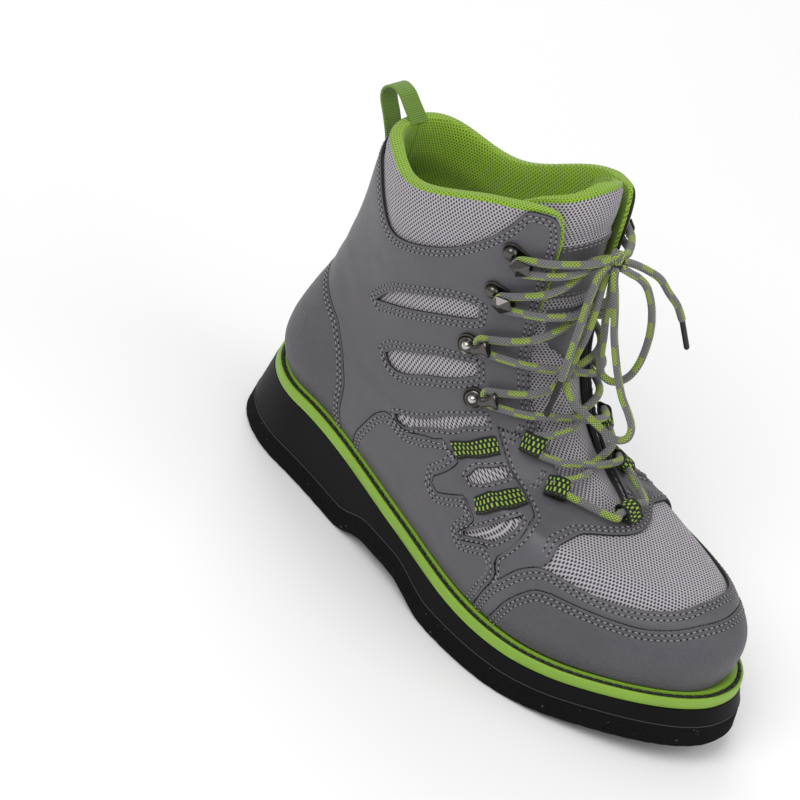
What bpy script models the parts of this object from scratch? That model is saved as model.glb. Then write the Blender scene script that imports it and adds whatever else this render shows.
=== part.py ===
"""Wading boot for the right foot: felt sole, welt and a laced, padded upper.

Sizes are millimetres and become metres where a mesh is made. X runs from heel
to toe, Y from the outer side of the foot (minus) to the inner side (plus) and
Z up. The origin lies on the floor under the middle of the heel.

The upper is one surface. A place on it is (a, v): a is 0 at the middle of the
front, -1 and +1 at the middle of the back, minus on the outer side, and v is 0
at the welt and 1 at the collar's edge.
"""
import math
from collections import namedtuple

import bmesh
import bpy
from mathutils import Matrix, Vector, geometry

MM = 0.001

# Driving sizes
LENGTH = 315.0
BALL_HALF = 50.0
SHAFT_RISE = 155.0
HEEL_CENTRE = 45.0
TOE_SHIFT = 9.0

FELT = 13.0
MIDSOLE_HEEL = 26.6
MIDSOLE_FORE = 9.0
WELT = 7.4
WELT_LEDGE = 6.7
WELT_SEAT = 5.0
ARCH_RAISE = 7.9
TOE_SPRING = 14.1
HEEL_FLARE = 8.6
TOE_FLARE = 4.2
SIDE_FLARE = 1.2
BIG_TOE = 5.0
SOLE_ROUND = 1.2
INSOLE = 4.0

WALL = 2.4
COLLAR_PAD = 8.0
COLLAR_SWELL = 1.6
PANEL = 1.4
WEBBING = 1.0
TONGUE = 5.0
TONGUE_EDGE = 2.0
TONGUE_RECESS = 5.0
TONGUE_LEAN = 3.0
GAP = 0.3
SKIN_GAP = 1.0

LACE = 4.0
AGLET = 3.0
KNOT = 10.8
HOOK_PLATE = 9.0
HOOK_PLATE_THICK = 1.2
HOOK_POST = 3.6
HOOK_SEAT = 0.8
HOOK_ROOM = 1.4
HOOK_HEAD = 8.0
HOOK_LIP = 1.2
HOOK_CROWN = 1.8
RIVET = 7.6
LOOP_WIDTH = 11.0
LOOP_REACH = 9.4
LOOP_TAIL = 5.0
LOOP_WALL = 1.1
LOOP_SEAT = 1.7
PULL_WIDTH = 12.5
PULL_THICK = 1.6

# One row for each section of the last, from the welt up. back_x and front_x
# are shares of LENGTH, the rises are shares of SHAFT_RISE above the sole, the
# half widths are shares of BALL_HALF, and the caps say what share of the
# section's length its rounded back and front take.
Section = namedtuple("Section", "name back_x front_x back_rise front_rise "
                     "heel waist ball toe back_cap front_cap")
SECTIONS = (
    Section("feather", .025, .970, .000, .000, .70, .80, 1.00, .80, .125, .20),
    Section("wall", .013, .978, .077, .084, .78, .86, 1.06, .86, .130, .20),
    Section("bumper", .013, .975, .142, .161, .78, .86, 1.04, .84, .135, .20),
    Section("shoulder", .019, .949, .200, .232, .76, .84, .98, .76, .140, .21),
    Section("crown", .025, .902, .245, .277, .74, .82, .92, .66, .150, .22),
    Section("vamp", .032, .832, .290, .290, .72, .78, .86, .58, .160, .24),
    Section("ball", .041, .756, .342, .310, .70, .76, .80, .54, .170, .25),
    Section("throat", .051, .686, .406, .348, .68, .74, .76, .52, .190, .27),
    Section("instep", .060, .613, .497, .465, .66, .72, .72, .52, .220, .28),
    Section("bend", .067, .559, .606, .639, .66, .74, .72, .54, .260, .28),
    Section("ankle", .070, .533, .723, .839, .68, .78, .74, .58, .300, .28),
    Section("cuff", .070, .521, .858, 1.058, .72, .82, .78, .62, .320, .28),
    Section("rim", .070, .511, 1.000, 1.277, .74, .84, .80, .66, .330, .28),
)
# Where along a section its four half widths stand, and how the foot's outer
# and inner sides differ from them
STATIONS = (0.10, 0.42, 0.70, 0.90)
SIDE_FACTORS = {-1: (1.0, 1.12, 1.06, 1.0), 1: (1.0, 0.90, 0.95, 1.0)}
COLLAR_DIP = {-1: 10.0, 1: 18.0}
FRONT_POWER = 2.2

# Columns and rows of the net that every piece of the upper shares
COLUMNS = 20
THROAT_COLUMN = 4
ROWS = (0, .8, 1.7, 2.7, 3.7, 4.7, 5.7, 6.7, 7.6, 8.6, 9.6, 10.6, 11.4, 12)
THROAT_ROW = 7

# Edges on the upper, each a list of (a, v) or (v, a) shares
THROAT_BASE = ((0.0, .555), (.10, .557), (.14, .568), (.17, .592), (.21, .575), (.26, .558))
THROAT_EDGE = ((.56, .160), (.62, .172), (.67, .182), (.72, .205), (.79, .204), (.86, .193), (1.0, .178))
TOPLINE = ((.16, .955), (.18, .970), (.20, .988), (.25, 1.0), (1.0, 1.0))
COLLAR_SEAM = ((.29, 1.0), (.32, .982), (.37, .952), (.44, .925), (.52, .908), (.60, .896),
               (.64, .902), (.69, .923), (.78, .955), (1.0, .985))
FOOT = .012
CAP_TOP = ((0.0, .262), (.07, .255), (.145, .226), (.20, .209), (.318, .205), (.343, .188),
           (.365, .129), (.385, FOOT))
BAND_TOP = ((0.0, .318), (.05, .315), (.14, .280), (.216, .256), (.265, .254), (.325, .262),
            (.344, .250), (.37, .206), (.394, .122), (.409, FOOT))
VAMP_WINDOW_TOP = ((0.0, .502), (.12, .487), (.23, .443), (.30, .354), (.325, .285))
FACING_BACK = ((.388, .152), (.392, .157), (.397, .205), (.34, .37), (.308, .44), (.296, .50), (.296, .65))
PANEL_FRONT = ((.410, FOOT), (.395, .152), (.406, .200), (.420, .203), (.450, .158), (.459, .169),
               (.440, .249), (.458, .290), (.503, .208), (.514, .218), (.512, .250), (.446, .430),
               (.464, .480))
PANEL_BACK = ((.464, .480), (.570, .300), (.601, .300), (.625, .228), (.641, .115), (.654, FOOT))
COUNTER_EDGE = ((.679, FOOT), (.690, .19), (.70, .25), (.735, .49), (.80, .545), (.90, .575),
                (1.0, .545))
FACING_TOP = .650
SEAM_GAP = 1.2
# Millimetres round and up the upper for each unit of a and v, near enough
ROUND_SCALE = 380.0
UP_SCALE = 190.0

# Mesh windows in the quarter
WINDOWS = {
    "ankle": ((.345, .812), (.345, .835), (.413, .826), (.50, .797), (.571, .760), (.612, .722),
              (.635, .695), (.568, .729), (.456, .778)),
    "instep": ((.335, .722), (.335, .742), (.448, .704), (.562, .633), (.589, .600), (.580, .580),
               (.557, .583), (.474, .648)),
    "waist": ((.319, .642), (.314, .662), (.45, .505), (.585, .322), (.575, .306), (.45, .475)),
    "middle": ((.318, .546), (.318, .570), (.405, .468), (.450, .372), (.441, .352), (.40, .415)),
    "ball": ((.358, .368), (.344, .400), (.396, .300), (.452, .200), (.447, .188), (.426, .222),
             (.408, .244)),
}

# Webbing bands across the side: front and back ends, low and high v
Band = namedtuple("Band", "name front front_low front_high back back_low back_high")
BANDS = (
    Band("upper", .312, .598, .629, .438, .442, .498),
    Band("lower", .318, .462, .520, .432, .300, .345),
)

# Lace hooks: where the rivet and the hook's head stand
Hook = namedtuple("Hook", "name rivet_a rivet_v head_a head_v")
HOOKS = (
    Hook("1", .302, .935, .266, .922),
    Hook("2", .321, .870, .284, .863),
    Hook("3", .357, .769, .311, .785),
    Hook("4", .344, .685, .296, .703),
)
# Webbing lace loops beside the throat, and the one at its base
LACE_LOOPS = (("upper", .213, .652), ("lower", .203, .572))
LACE_ARCH = .024
CENTRE_LOOP_V = .545

# The knot's centre and the bow's cords, in millimetres from the back of the last
KNOT_CENTRE = (168.0, 0.0, 216.0)
BOW = {
    "lace_end_inner": ((170.2, 5.4, 213.4), (172, 12.5, 210.8), (174.2, 22, 205.9), (177.5, 31, 200.2),
                       (180.9, 38, 191.8), (184, 45, 184), (186.6, 50, 175.5)),
    "bow_loop_inner": ((172.8, 1.6, 212.2), (175.2, 6.5, 209.4), (177.3, 13, 205.6), (180, 19, 199.4),
                       (184, 24, 187), (187, 26, 172.5), (188, 25.5, 157), (186.5, 22.5, 146.5),
                       (181.5, 18, 141.5), (175.8, 13.8, 145), (173.6, 11.5, 156), (172.4, 9.5, 167),
                       (170.6, 8, 177), (169.6, 6.3, 188), (168.8, 4.2, 199), (169, 2.2, 210.1)),
    "bow_loop_outer": ((172, -2.7, 211.8), (174.2, -3, 206), (176, -1, 199), (177.6, 1.5, 190),
                       (182.5, 2.5, 176), (191.2, 2, 162.3), (200, 1.2, 152), (207, .8, 147),
                       (212.8, 0, 141.8), (213.6, -1.6, 135.8), (208.2, -3.6, 131.9), (198, -6, 133.6),
                       (187, -11, 138.4), (180.2, -14, 142.8), (174.9, -12.7, 149.1), (173.2, -9.6, 158),
                       (173.9, -8.3, 173.7), (172.4, -6.3, 186), (170.6, -5.2, 196), (168.9, -4, 203),
                       (167.7, -2.2, 210)),
    "lace_end_outer": ((168.6, -5.4, 212.8), (168.9, -9.6, 207.5), (169.8, -11.6, 200),
                       (170.6, -12.8, 190.2), (172, -14.2, 182), (173.6, -16, 174.7), (175.4, -18, 163),
                       (176.6, -19, 151.2)),
}
# Where the tips of the two ends lie
AGLET_TIPS = {"inner": (193.6, 54.0, 160.3), "outer": (180.6, -26.5, 133.1)}
CORD_STEP = 9.0
# The pull loop's middle line (x, z), from its outer end over the top to the rim
PULL_LINE = ((18.7, 176.0), (17.5, 184.0), (11.5, 194.0), (6.0, 202.0), (5.5, 207.5), (9.5, 211.6),
             (15.5, 211.4), (20.5, 208.0), (24.3, 205.0))


def mix(rows, t):
    """Value at t of a short table of (t, value) rows, straight between them."""
    if t <= rows[0][0]:
        return rows[0][1]
    for (t0, value0), (t1, value1) in zip(rows, rows[1:]):
        if t <= t1:
            return value0 + (value1 - value0) * (t - t0) / (t1 - t0)
    return rows[-1][1]


def ease(t, low, high):
    """Smooth step from 0 at low to 1 at high."""
    t = min(max((t - low) / (high - low), 0.0), 1.0)
    return t * t * (3 - 2 * t)


def curve_through(p0, p1, p2, p3, t):
    """Smooth curve between p1 and p2, guided by their neighbours."""
    return 0.5 * (2 * p1 + (p2 - p0) * t + (2 * p0 - 5 * p1 + 4 * p2 - p3) * t * t
                  + (3 * p1 - p0 - 3 * p2 + p3) * t ** 3)


# The sole's levels along its length

def sole_bottom(x):
    """Height of the felt's underside: flat heel, raised arch, flat ball, sprung toe."""
    s = x / LENGTH
    arch = ARCH_RAISE * (ease(s, .30, .38) - ease(s, .45, .56))
    return arch + TOE_SPRING * ease(s, .72, 1.05)


def sole_top(x):
    """Height of the welt's seat, where the upper stands."""
    s = x / LENGTH
    layers = FELT + GAP + WELT + GAP
    lift = MIDSOLE_HEEL + (MIDSOLE_FORE - MIDSOLE_HEEL) * ease(s, .15, .68)
    return layers + lift + TOE_SPRING * ease(s, .72, 1.05)


# The last

def section_at(v):
    """Section of the last at v, smooth between the table's rows."""
    last = len(SECTIONS) - 1
    r = min(max(v, 0.0) * last, last + 1.0)
    i = min(int(r), last - 1)
    t = r - i
    values = []
    for k in range(1, len(SECTIONS[0])):
        p1 = SECTIONS[i][k]
        p2 = SECTIONS[i + 1][k]
        p0 = SECTIONS[i - 1][k] if i > 0 else 2 * p1 - p2
        p3 = SECTIONS[i + 2][k] if i + 2 <= last else 2 * p2 - p1
        values.append(curve_through(p0, p1, p2, p3, t))
    return Section("", *values)


def half_width(section, side, t):
    """Half width of a section at share t of its length, before the end caps."""
    widths = [w * f * BALL_HALF for w, f in
              zip((section.heel, section.waist, section.ball, section.toe), SIDE_FACTORS[side])]
    slopes = [0.0]
    for k in (1, 2):
        slopes.append((widths[k + 1] - widths[k - 1]) / (STATIONS[k + 1] - STATIONS[k - 1]))
    slopes.append((widths[3] - widths[2]) / (STATIONS[3] - STATIONS[2]))
    if t <= STATIONS[0]:
        return widths[0]
    if t >= STATIONS[3]:
        return widths[3] + slopes[3] * (t - STATIONS[3])
    k = max(i for i in range(3) if t >= STATIONS[i])
    h = STATIONS[k + 1] - STATIONS[k]
    f = (t - STATIONS[k]) / h
    return ((2 * f ** 3 - 3 * f ** 2 + 1) * widths[k] + (f ** 3 - 2 * f ** 2 + f) * h * slopes[k]
            + (3 * f ** 2 - 2 * f ** 3) * widths[k + 1] + (f ** 3 - f ** 2) * h * slopes[k + 1])


def on_last(a, v):
    """Point of the upper's outer face at (a, v)."""
    if a > 1.0:
        a -= 2.0
    if a < -1.0:
        a += 2.0
    side = -1 if a < 0 else 1
    section = section_at(v)
    t = (1 + math.cos(math.pi * abs(a))) / 2
    back = 1.0
    if t < section.back_cap:
        back = math.sqrt(max(1 - (1 - t / section.back_cap) ** 2, 0.0))
    front = 1.0
    if 1 - t < section.front_cap:
        reach = 1 - (1 - t) / section.front_cap
        front = max(1 - reach ** FRONT_POWER, 0.0) ** (1 / FRONT_POWER)
    x = LENGTH * (section.back_x + (section.front_x - section.back_x) * t)
    y = TOE_SHIFT * ease(x / LENGTH, .55, 1.0) + side * half_width(section, side, t) * back * front
    heel_z = sole_top(LENGTH * SECTIONS[0].back_x)
    toe_z = sole_top(LENGTH * SECTIONS[0].front_x)
    base = heel_z + (toe_z - heel_z) * t
    foot_x = LENGTH * (SECTIONS[0].back_x + (SECTIONS[0].front_x - SECTIONS[0].back_x) * t)
    sag = max(1 - v / .35, 0.0) * (sole_top(foot_x) - base)
    dip = COLLAR_DIP[side] * ease(v, .72, 1.0) * math.sin(math.pi * min(t / .78, 1.0) ** .8) ** 2
    rise = SHAFT_RISE * (section.back_rise + (section.front_rise - section.back_rise) * t)
    return Vector((x, y, base + rise + sag - dip))


def last_frame(a, v):
    """Point, outward normal, forward tangent and upward tangent at (a, v)."""
    step = .012
    low = max(v - step, 0.0)
    around = on_last(a + step, v) - on_last(a - step, v)
    upward = on_last(a, v + step) - on_last(a, low)
    normal = upward.cross(around).normalized()
    up = (upward - normal * upward.dot(normal)).normalized()
    return on_last(a, v), -normal, up.cross(-normal), up


def off_last(a, v, offset):
    """Point at a distance outside (plus) or inside (minus) the outer face."""
    point, normal, _, _ = last_frame(a, v)
    return point + normal * offset


# Making objects

def metres(point):
    """Place in the part's own frame, in metres, of a point in millimetres."""
    return Vector((point[0] - HEEL_CENTRE, point[1], point[2])) * MM


def from_metres(place):
    """Point in millimetres of a place in the part's own frame."""
    return Vector(place) / MM + Vector((HEEL_CENTRE, 0, 0))


def make_material(name, colour, roughness, metallic=0.0):
    """Principled material with a plain colour."""
    material = bpy.data.materials.new(name)
    material.use_nodes = True
    shader = material.node_tree.nodes["Principled BSDF"]
    shader.inputs["Base Color"].default_value = (*colour, 1.0)
    shader.inputs["Roughness"].default_value = roughness
    shader.inputs["Metallic"].default_value = metallic
    return material


def finish_object(name, bm, material, smooth_angle=40.0):
    """Turn a bmesh in metres into a named object with outward faces."""
    bmesh.ops.recalc_face_normals(bm, faces=bm.faces[:])
    mesh = bpy.data.meshes.new(name)
    bm.to_mesh(mesh)
    bm.free()
    mesh.materials.append(material)
    mesh.shade_smooth()
    mesh.set_sharp_from_angle(angle=math.radians(smooth_angle))
    obj = bpy.data.objects.new(name, mesh)
    bpy.context.scene.collection.objects.link(obj)
    return obj


def apply_boolean(obj, tool, operation):
    """Join or cut obj with tool and remove the tool."""
    modifier = obj.modifiers.new(operation.lower(), "BOOLEAN")
    modifier.operation = operation
    modifier.solver = "EXACT"
    modifier.object = tool
    graph = bpy.context.evaluated_depsgraph_get()
    mesh = bpy.data.meshes.new_from_object(obj.evaluated_get(graph))
    obj.modifiers.clear()
    old = obj.data
    obj.data = mesh
    mesh.name = old.name
    bpy.data.meshes.remove(old)
    bpy.data.objects.remove(tool)


# The net of the upper: rings that close at the back, open at the throat

def net_place(side, i, j):
    """Place (a, v) of the net's column i and row j on one side."""
    u = i / COLUMNS
    v = ROWS[j] / (len(SECTIONS) - 1)
    if j == THROAT_ROW:
        v = mix(THROAT_BASE, u)
    if j > THROAT_ROW:
        edge = THROAT_COLUMN / COLUMNS
        shift = mix(THROAT_EDGE, v) - edge
        u += shift * (u / edge if u < edge else max(1 - (u - edge) / .45, 0.0))
    return side * u, v


def on_round(a, v):
    """The same place on a plain cylinder, where a net's edges can meet."""
    return Vector((math.cos(math.pi * a) / math.pi, math.sin(math.pi * a) / math.pi, v))


def off_round(point):
    """Place (a, v) of a point on the plain cylinder."""
    return math.atan2(point.y, point.x) / math.pi, point.z


def make_upper(material):
    """The hollow upper, open at the collar, the throat and underneath."""
    bm = bmesh.new()
    for side in (-1, 1):
        grid = {}
        for j in range(len(ROWS)):
            for i in range(COLUMNS + 1):
                if j <= THROAT_ROW or i >= THROAT_COLUMN:
                    a, v = net_place(side, i, j)
                    grid[i, j] = bm.verts.new(on_round(a, min(v, mix(TOPLINE, abs(a)))))
        for i, j in grid:
            corners = ((i, j), (i + 1, j), (i + 1, j + 1), (i, j + 1))
            if all(corner in grid for corner in corners):
                bm.faces.new([grid[corner] for corner in corners])
    bmesh.ops.remove_doubles(bm, verts=bm.verts[:], dist=.0022)
    skin = bm.verts[:]
    grown = bmesh.ops.extrude_face_region(bm, geom=bm.faces[:], use_keep_orig=True)
    for vert in skin:
        a, v = off_round(vert.co)
        vert.co = metres(off_last(a, v, upper_inner(abs(a), v)))
    for vert in (g for g in grown["geom"] if isinstance(g, bmesh.types.BMVert)):
        a, v = off_round(vert.co)
        vert.co = metres(off_last(a, v, upper_outer(abs(a), v)))
    return finish_object("upper", bm, material)


def collar_share(u, v):
    """How far a place is into the padded collar, 0 to 1."""
    seam = mix(COLLAR_SEAM, u)
    return ease(v, seam - .012, seam + .03)


def upper_outer(u, v):
    """Outer face of the upper: the last, swollen at the padded collar."""
    return COLLAR_SWELL * collar_share(u, v) - 2.6 * ease(v, .972, 1.0)


def upper_inner(u, v):
    """Inner face of the upper: its wall, thicker at the padded collar."""
    pad = ease(v, .84, .93) * ease(u, .20, .30)
    return -WALL - (COLLAR_PAD - WALL) * pad + 1.4 * ease(v, .972, 1.0) * pad


def net_lines(low, high):
    """Points and edges of the net between two values of a, one each side and past the back."""
    points = []
    edges = []
    for side, start in ((1, 0.0), (-1, 0.0), (-1, 2.0)):
        index = {}
        for j in range(len(ROWS)):
            for i in range(COLUMNS + 1):
                a, v = net_place(side, i, j)
                if low - .1 < start + a < high + .1:
                    index[i, j] = len(points)
                    points.append(Vector((start + a, v)))
        for (i, j), here in index.items():
            edges += [(here, index[near]) for near in ((i + 1, j), (i, j + 1)) if near in index]
    return points, edges


def pattern_piece(name, outline, material, holes=()):
    """Leather piece of a given outline in (a, v), laid over the upper's outer face."""
    points, edges = net_lines(min(a for a, _ in outline), max(a for a, _ in outline))
    loops = []
    for loop in (outline, *holes):
        loops.append(list(range(len(points), len(points) + len(loop))))
        points += [Vector(place) for place in counter_clockwise(loop)]
    cut = geometry.delaunay_2d_cdt(points, edges, loops, 4, 1e-5)
    bm = bmesh.new()
    verts = [bm.verts.new((p.x, p.y, 0.0)) for p in cut[0]]
    for face, sources in zip(cut[2], cut[5]):
        if 0 in sources and len(sources) == 1:
            bm.faces.new([verts[k] for k in face])
    bmesh.ops.remove_doubles(bm, verts=bm.verts[:], dist=.0014)
    bmesh.ops.dissolve_degenerate(bm, edges=bm.edges[:], dist=.001)
    for edge in [e for e in bm.edges if not e.link_faces]:
        bm.edges.remove(edge)
    for vert in [v for v in bm.verts if not v.link_faces]:
        bm.verts.remove(vert)
    skin = bm.verts[:]
    grown = bmesh.ops.extrude_face_region(bm, geom=bm.faces[:], use_keep_orig=True)
    for vert in skin:
        vert.co = metres(off_last(vert.co.x, vert.co.y, SKIN_GAP))
    for vert in (g for g in grown["geom"] if isinstance(g, bmesh.types.BMVert)):
        vert.co = metres(off_last(vert.co.x, vert.co.y, SKIN_GAP + PANEL))
    return finish_object(name, bm, material)


def counter_clockwise(outline):
    """The same outline, turned round if it runs clockwise."""
    after = outline[1:] + outline[:1]
    area = sum(a0 * v1 - a1 * v0 for (a0, v0), (a1, v1) in zip(outline, after))
    return outline if area > 0 else tuple(reversed(outline))


def beside(line, gap):
    """A line moved sideways, to its left, by a gap in millimetres."""
    moved = []
    for k, (a, v) in enumerate(line):
        before = line[max(k - 1, 0)]
        after = line[min(k + 1, len(line) - 1)]
        along = Vector(((after[0] - before[0]) * ROUND_SCALE, (after[1] - before[1]) * UP_SCALE))
        across = Vector((-along.y, along.x)).normalized() * gap
        moved.append((a + across.x / ROUND_SCALE, v + across.y / UP_SCALE))
    return tuple(moved)


def level(line):
    """A line with its last point brought back to the foot."""
    return line[:-1] + ((line[-1][0], FOOT),)


def both_sides(line):
    """A line from the front's middle outward, continued on the other side."""
    return tuple((-a, v) for a, v in reversed(line)) + line[1:]


def throat_side(low, high):
    """Points of the throat's edge between two heights, a little behind it."""
    heights = [low] + [v for v, _ in THROAT_EDGE if low + .02 < v < high - .02] + [high]
    return tuple((mix(THROAT_EDGE, v) + .005, v) for v in heights)


def quarter_outline():
    """Outline of the quarter on one side, from the throat back and round."""
    seam = tuple((a, v - .018) for a, v in COLLAR_SEAM[1:])
    low = FACING_TOP + SEAM_GAP / UP_SCALE
    top = throat_side(low, .945) + ((.20, .972), (.25, .984), (.30, .980)) + seam
    back = ((1 - SEAM_GAP / ROUND_SCALE, top[-1][1]),)
    counter = tuple(reversed(level_start(beside(COUNTER_EDGE, SEAM_GAP))))
    counter = ((back[0][0], counter[0][1]),) + counter[1:]
    panel = level_start(beside(tuple(reversed(PANEL_BACK)), -SEAM_GAP))
    front = beside(tuple(reversed(PANEL_FRONT)), -SEAM_GAP)[:-2]
    facing = beside(FACING_BACK[2:], -SEAM_GAP)
    facing = facing[:-1] + ((facing[-1][0], low),)
    return top[:-1] + back + counter + panel + front + facing


def level_start(line):
    """A line with its first point brought back to the foot."""
    return ((line[0][0], FOOT),) + line[1:]


def facing_outline():
    """Outline of the facing, the saddle across the vamp below the throat."""
    band = beside(BAND_TOP, SEAM_GAP)
    side = VAMP_WINDOW_TOP + band[6:-2] + FACING_BACK
    throat = ((mix(THROAT_EDGE, FACING_TOP) + .002, FACING_TOP), (mix(THROAT_EDGE, .60) + .003, .60))
    base = tuple((a, v - .004) for a, v in reversed(THROAT_BASE[:3]))
    return both_sides(VAMP_WINDOW_TOP[:1] + side[1:])[:-1] + side[-1:] + throat + base + tuple(
        (-a, v) for a, v in reversed((throat + base)[:-1]))


def mirrored(outline, side):
    """An outline on the side of the foot asked for."""
    return tuple((side * a, v) for a, v in outline)


def make_panels(leather, tough, cloth):
    """Leather pieces that cover the upper, each a shell above its outer face."""
    pattern_piece("toe_cap", both_sides(CAP_TOP), tough)
    inner_edge = level(beside(CAP_TOP, SEAM_GAP))
    pattern_piece("toe_band", both_sides(BAND_TOP) + tuple(reversed(both_sides(inner_edge))), leather)
    counter = tuple((2 - a, v) for a, v in reversed(COUNTER_EDGE[:-1]))
    pattern_piece("heel_counter", COUNTER_EDGE + counter, tough)
    pattern_piece("facing", facing_outline(), leather)
    for side, word in ((-1, "outer"), (1, "inner")):
        panel = PANEL_FRONT + PANEL_BACK[1:]
        pattern_piece("side_panel_" + word, mirrored(panel, side), leather)
        windows = [mirrored(window, side) for window in WINDOWS.values()]
        pattern_piece("quarter_" + word, mirrored(quarter_outline(), side), leather, windows)
        for band in BANDS:
            make_band("side_web_%s_%s" % (word, band.name), band, side, cloth)


def make_band(name, band, side, material):
    """Webbing band over the quarter, following the last."""
    low = SKIN_GAP + PANEL + 2 * GAP
    bm = bmesh.new()
    rings = []
    steps = 4
    for k in range(steps + 1):
        t = k / steps
        a = side * (band.front + (band.back - band.front) * t)
        v_low = band.front_low + (band.back_low - band.front_low) * t
        v_high = band.front_high + (band.back_high - band.front_high) * t
        corners = ((v_low, low), (v_high, low), (v_high, low + WEBBING), (v_low, low + WEBBING))
        rings.append([bm.verts.new(metres(off_last(a, v, lift))) for v, lift in corners])
    for first, second in zip(rings, rings[1:]):
        for k in range(4):
            bm.faces.new((first[k], first[(k + 1) % 4], second[(k + 1) % 4], second[k]))
    bm.faces.new(rings[0])
    bm.faces.new(rings[-1])
    return finish_object(name, bm, material)


# Hooks, loops and laces

def seat(here, ahead, lift):
    """Frame on the upper: X towards a second place, Z outward, in metres per millimetre."""
    point, normal, _, _ = last_frame(*here)
    along = on_last(*ahead) - point
    along = (along - normal * along.dot(normal)).normalized()
    turn = Matrix((along, normal.cross(along), normal)).transposed().to_4x4()
    return Matrix.Translation(metres(point + normal * lift)) @ turn @ Matrix.Scale(MM, 4)


def turned(name, matrix, centre, rings, sides, material):
    """Closed solid of rings (radius, height) about a local Z axis at centre (x, y)."""
    bm = bmesh.new()
    loops = []
    for radius, height in rings:
        loop = []
        for k in range(sides):
            angle = 2 * math.pi * (k + .5) / sides
            place = Vector((centre[0] + radius * math.cos(angle), centre[1] + radius * math.sin(angle), height))
            loop.append(bm.verts.new(matrix @ place))
        loops.append(loop)
    for low, high in zip(loops, loops[1:]):
        for k in range(sides):
            bm.faces.new((low[k], low[(k + 1) % sides], high[(k + 1) % sides], high[k]))
    bm.faces.new(loops[0])
    bm.faces.new(loops[-1])
    return finish_object(name, bm, material)


def make_hook(name, hook, side, material):
    """Lace hook: a plate, its rivet, and a post with a head that the lace passes under."""
    rivet = (side * hook.rivet_a, hook.rivet_v)
    head = (side * hook.head_a, hook.head_v)
    middle = ((rivet[0] + head[0]) / 2, (rivet[1] + head[1]) / 2)
    matrix = seat(middle, head, SKIN_GAP + PANEL + HOOK_SEAT)
    half = (on_last(*head) - on_last(*rivet)).length / 2
    radius = HOOK_PLATE / 2
    bm = bmesh.new()
    outline = []
    for shift, start in ((half, -math.pi / 2), (-half, math.pi / 2)):
        for k in range(4):
            angle = start + math.pi * k / 3
            outline.append((shift + radius * math.cos(angle), radius * math.sin(angle)))
    low = [bm.verts.new(matrix @ Vector((x, y, 0))) for x, y in outline]
    high = [bm.verts.new(matrix @ Vector((x, y, HOOK_PLATE_THICK))) for x, y in outline]
    bm.faces.new(low)
    bm.faces.new(high)
    for k, n in zip(range(8), (1, 2, 3, 4, 5, 6, 7, 0)):
        bm.faces.new((low[k], low[n], high[n], high[k]))
    plate = finish_object(name, bm, material)
    sunk = HOOK_PLATE_THICK / 2
    top = HOOK_PLATE_THICK
    dome = ((RIVET / 2, sunk), (RIVET / 2, top + .6), (RIVET * .36, top + 2.2), (RIVET * .16, top + 2.9))
    lip = top + LACE + HOOK_ROOM
    spool = ((HOOK_POST / 2, sunk), (HOOK_POST / 2, lip), (HOOK_HEAD / 2, lip + .3),
             (HOOK_HEAD / 2, lip + HOOK_LIP), (HOOK_HEAD * .2, lip + HOOK_LIP + HOOK_CROWN))
    apply_boolean(plate, turned("rivet", matrix, (-half, 0), dome, 7, material), "UNION")
    apply_boolean(plate, turned("head", matrix, (half, 0), spool, 6, material), "UNION")
    return plate


def loop_height():
    """Outer height of a lace loop, whose hole takes the lace."""
    return LACE + 2 * GAP + 2 * LOOP_WALL


def make_lace_loop(name, here, ahead, material):
    """Webbing folded round the lace: a flat tube with a tail where it is sewn down."""
    matrix = seat(here, ahead, SKIN_GAP + PANEL + LOOP_SEAT)
    height = loop_height()
    sides = 12
    bm = bmesh.new()
    ends = []
    for y in (-LOOP_WIDTH / 2, LOOP_WIDTH / 2):
        outer = []
        inner = []
        for k in range(sides):
            angle = 2 * math.pi * k / sides
            across = math.cos(angle)
            up = math.sin(angle)
            out = Vector((LOOP_REACH / 2 * across, y, height / 2 * (1 + up)))
            if k == sides // 2:
                out.x -= LOOP_TAIL
                out.z = LOOP_WALL
            outer.append(bm.verts.new(matrix @ out))
            inner.append(bm.verts.new(matrix @ Vector((
                (LOOP_REACH / 2 - LOOP_WALL) * across, y, height / 2 + (height / 2 - LOOP_WALL) * up))))
        ends.append((outer, inner))
    (outer0, inner0), (outer1, inner1) = ends
    for k in range(sides):
        n = (k + 1) % sides
        bm.faces.new((outer0[k], outer0[n], outer1[n], outer1[k]))
        bm.faces.new((inner0[k], inner0[n], inner1[n], inner1[k]))
        bm.faces.new((outer0[k], outer0[n], inner0[n], inner0[k]))
        bm.faces.new((outer1[k], outer1[n], inner1[n], inner1[k]))
    return finish_object(name, bm, material)


def lace_height():
    """How far the lace's middle runs above the last at a hook or loop."""
    return SKIN_GAP + PANEL + HOOK_SEAT + HOOK_PLATE_THICK + HOOK_ROOM * .6 + LACE / 2


def strand(start, end, middle_height, steps=7):
    """Middle line of a lace strand across the throat, hugging the last."""
    line = []
    for k in range(steps + 1):
        t = k / steps
        a = start[0] + (end[0] - start[0]) * t
        v = start[1] + (end[1] - start[1]) * t + LACE_ARCH * math.sin(math.pi * t)
        low = middle_height - tongue_recess(0.0, v)
        height = lace_height() + (low - lace_height()) * math.sin(math.pi * t) ** 4
        line.append(off_last(a, v, height))
    return line


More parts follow.
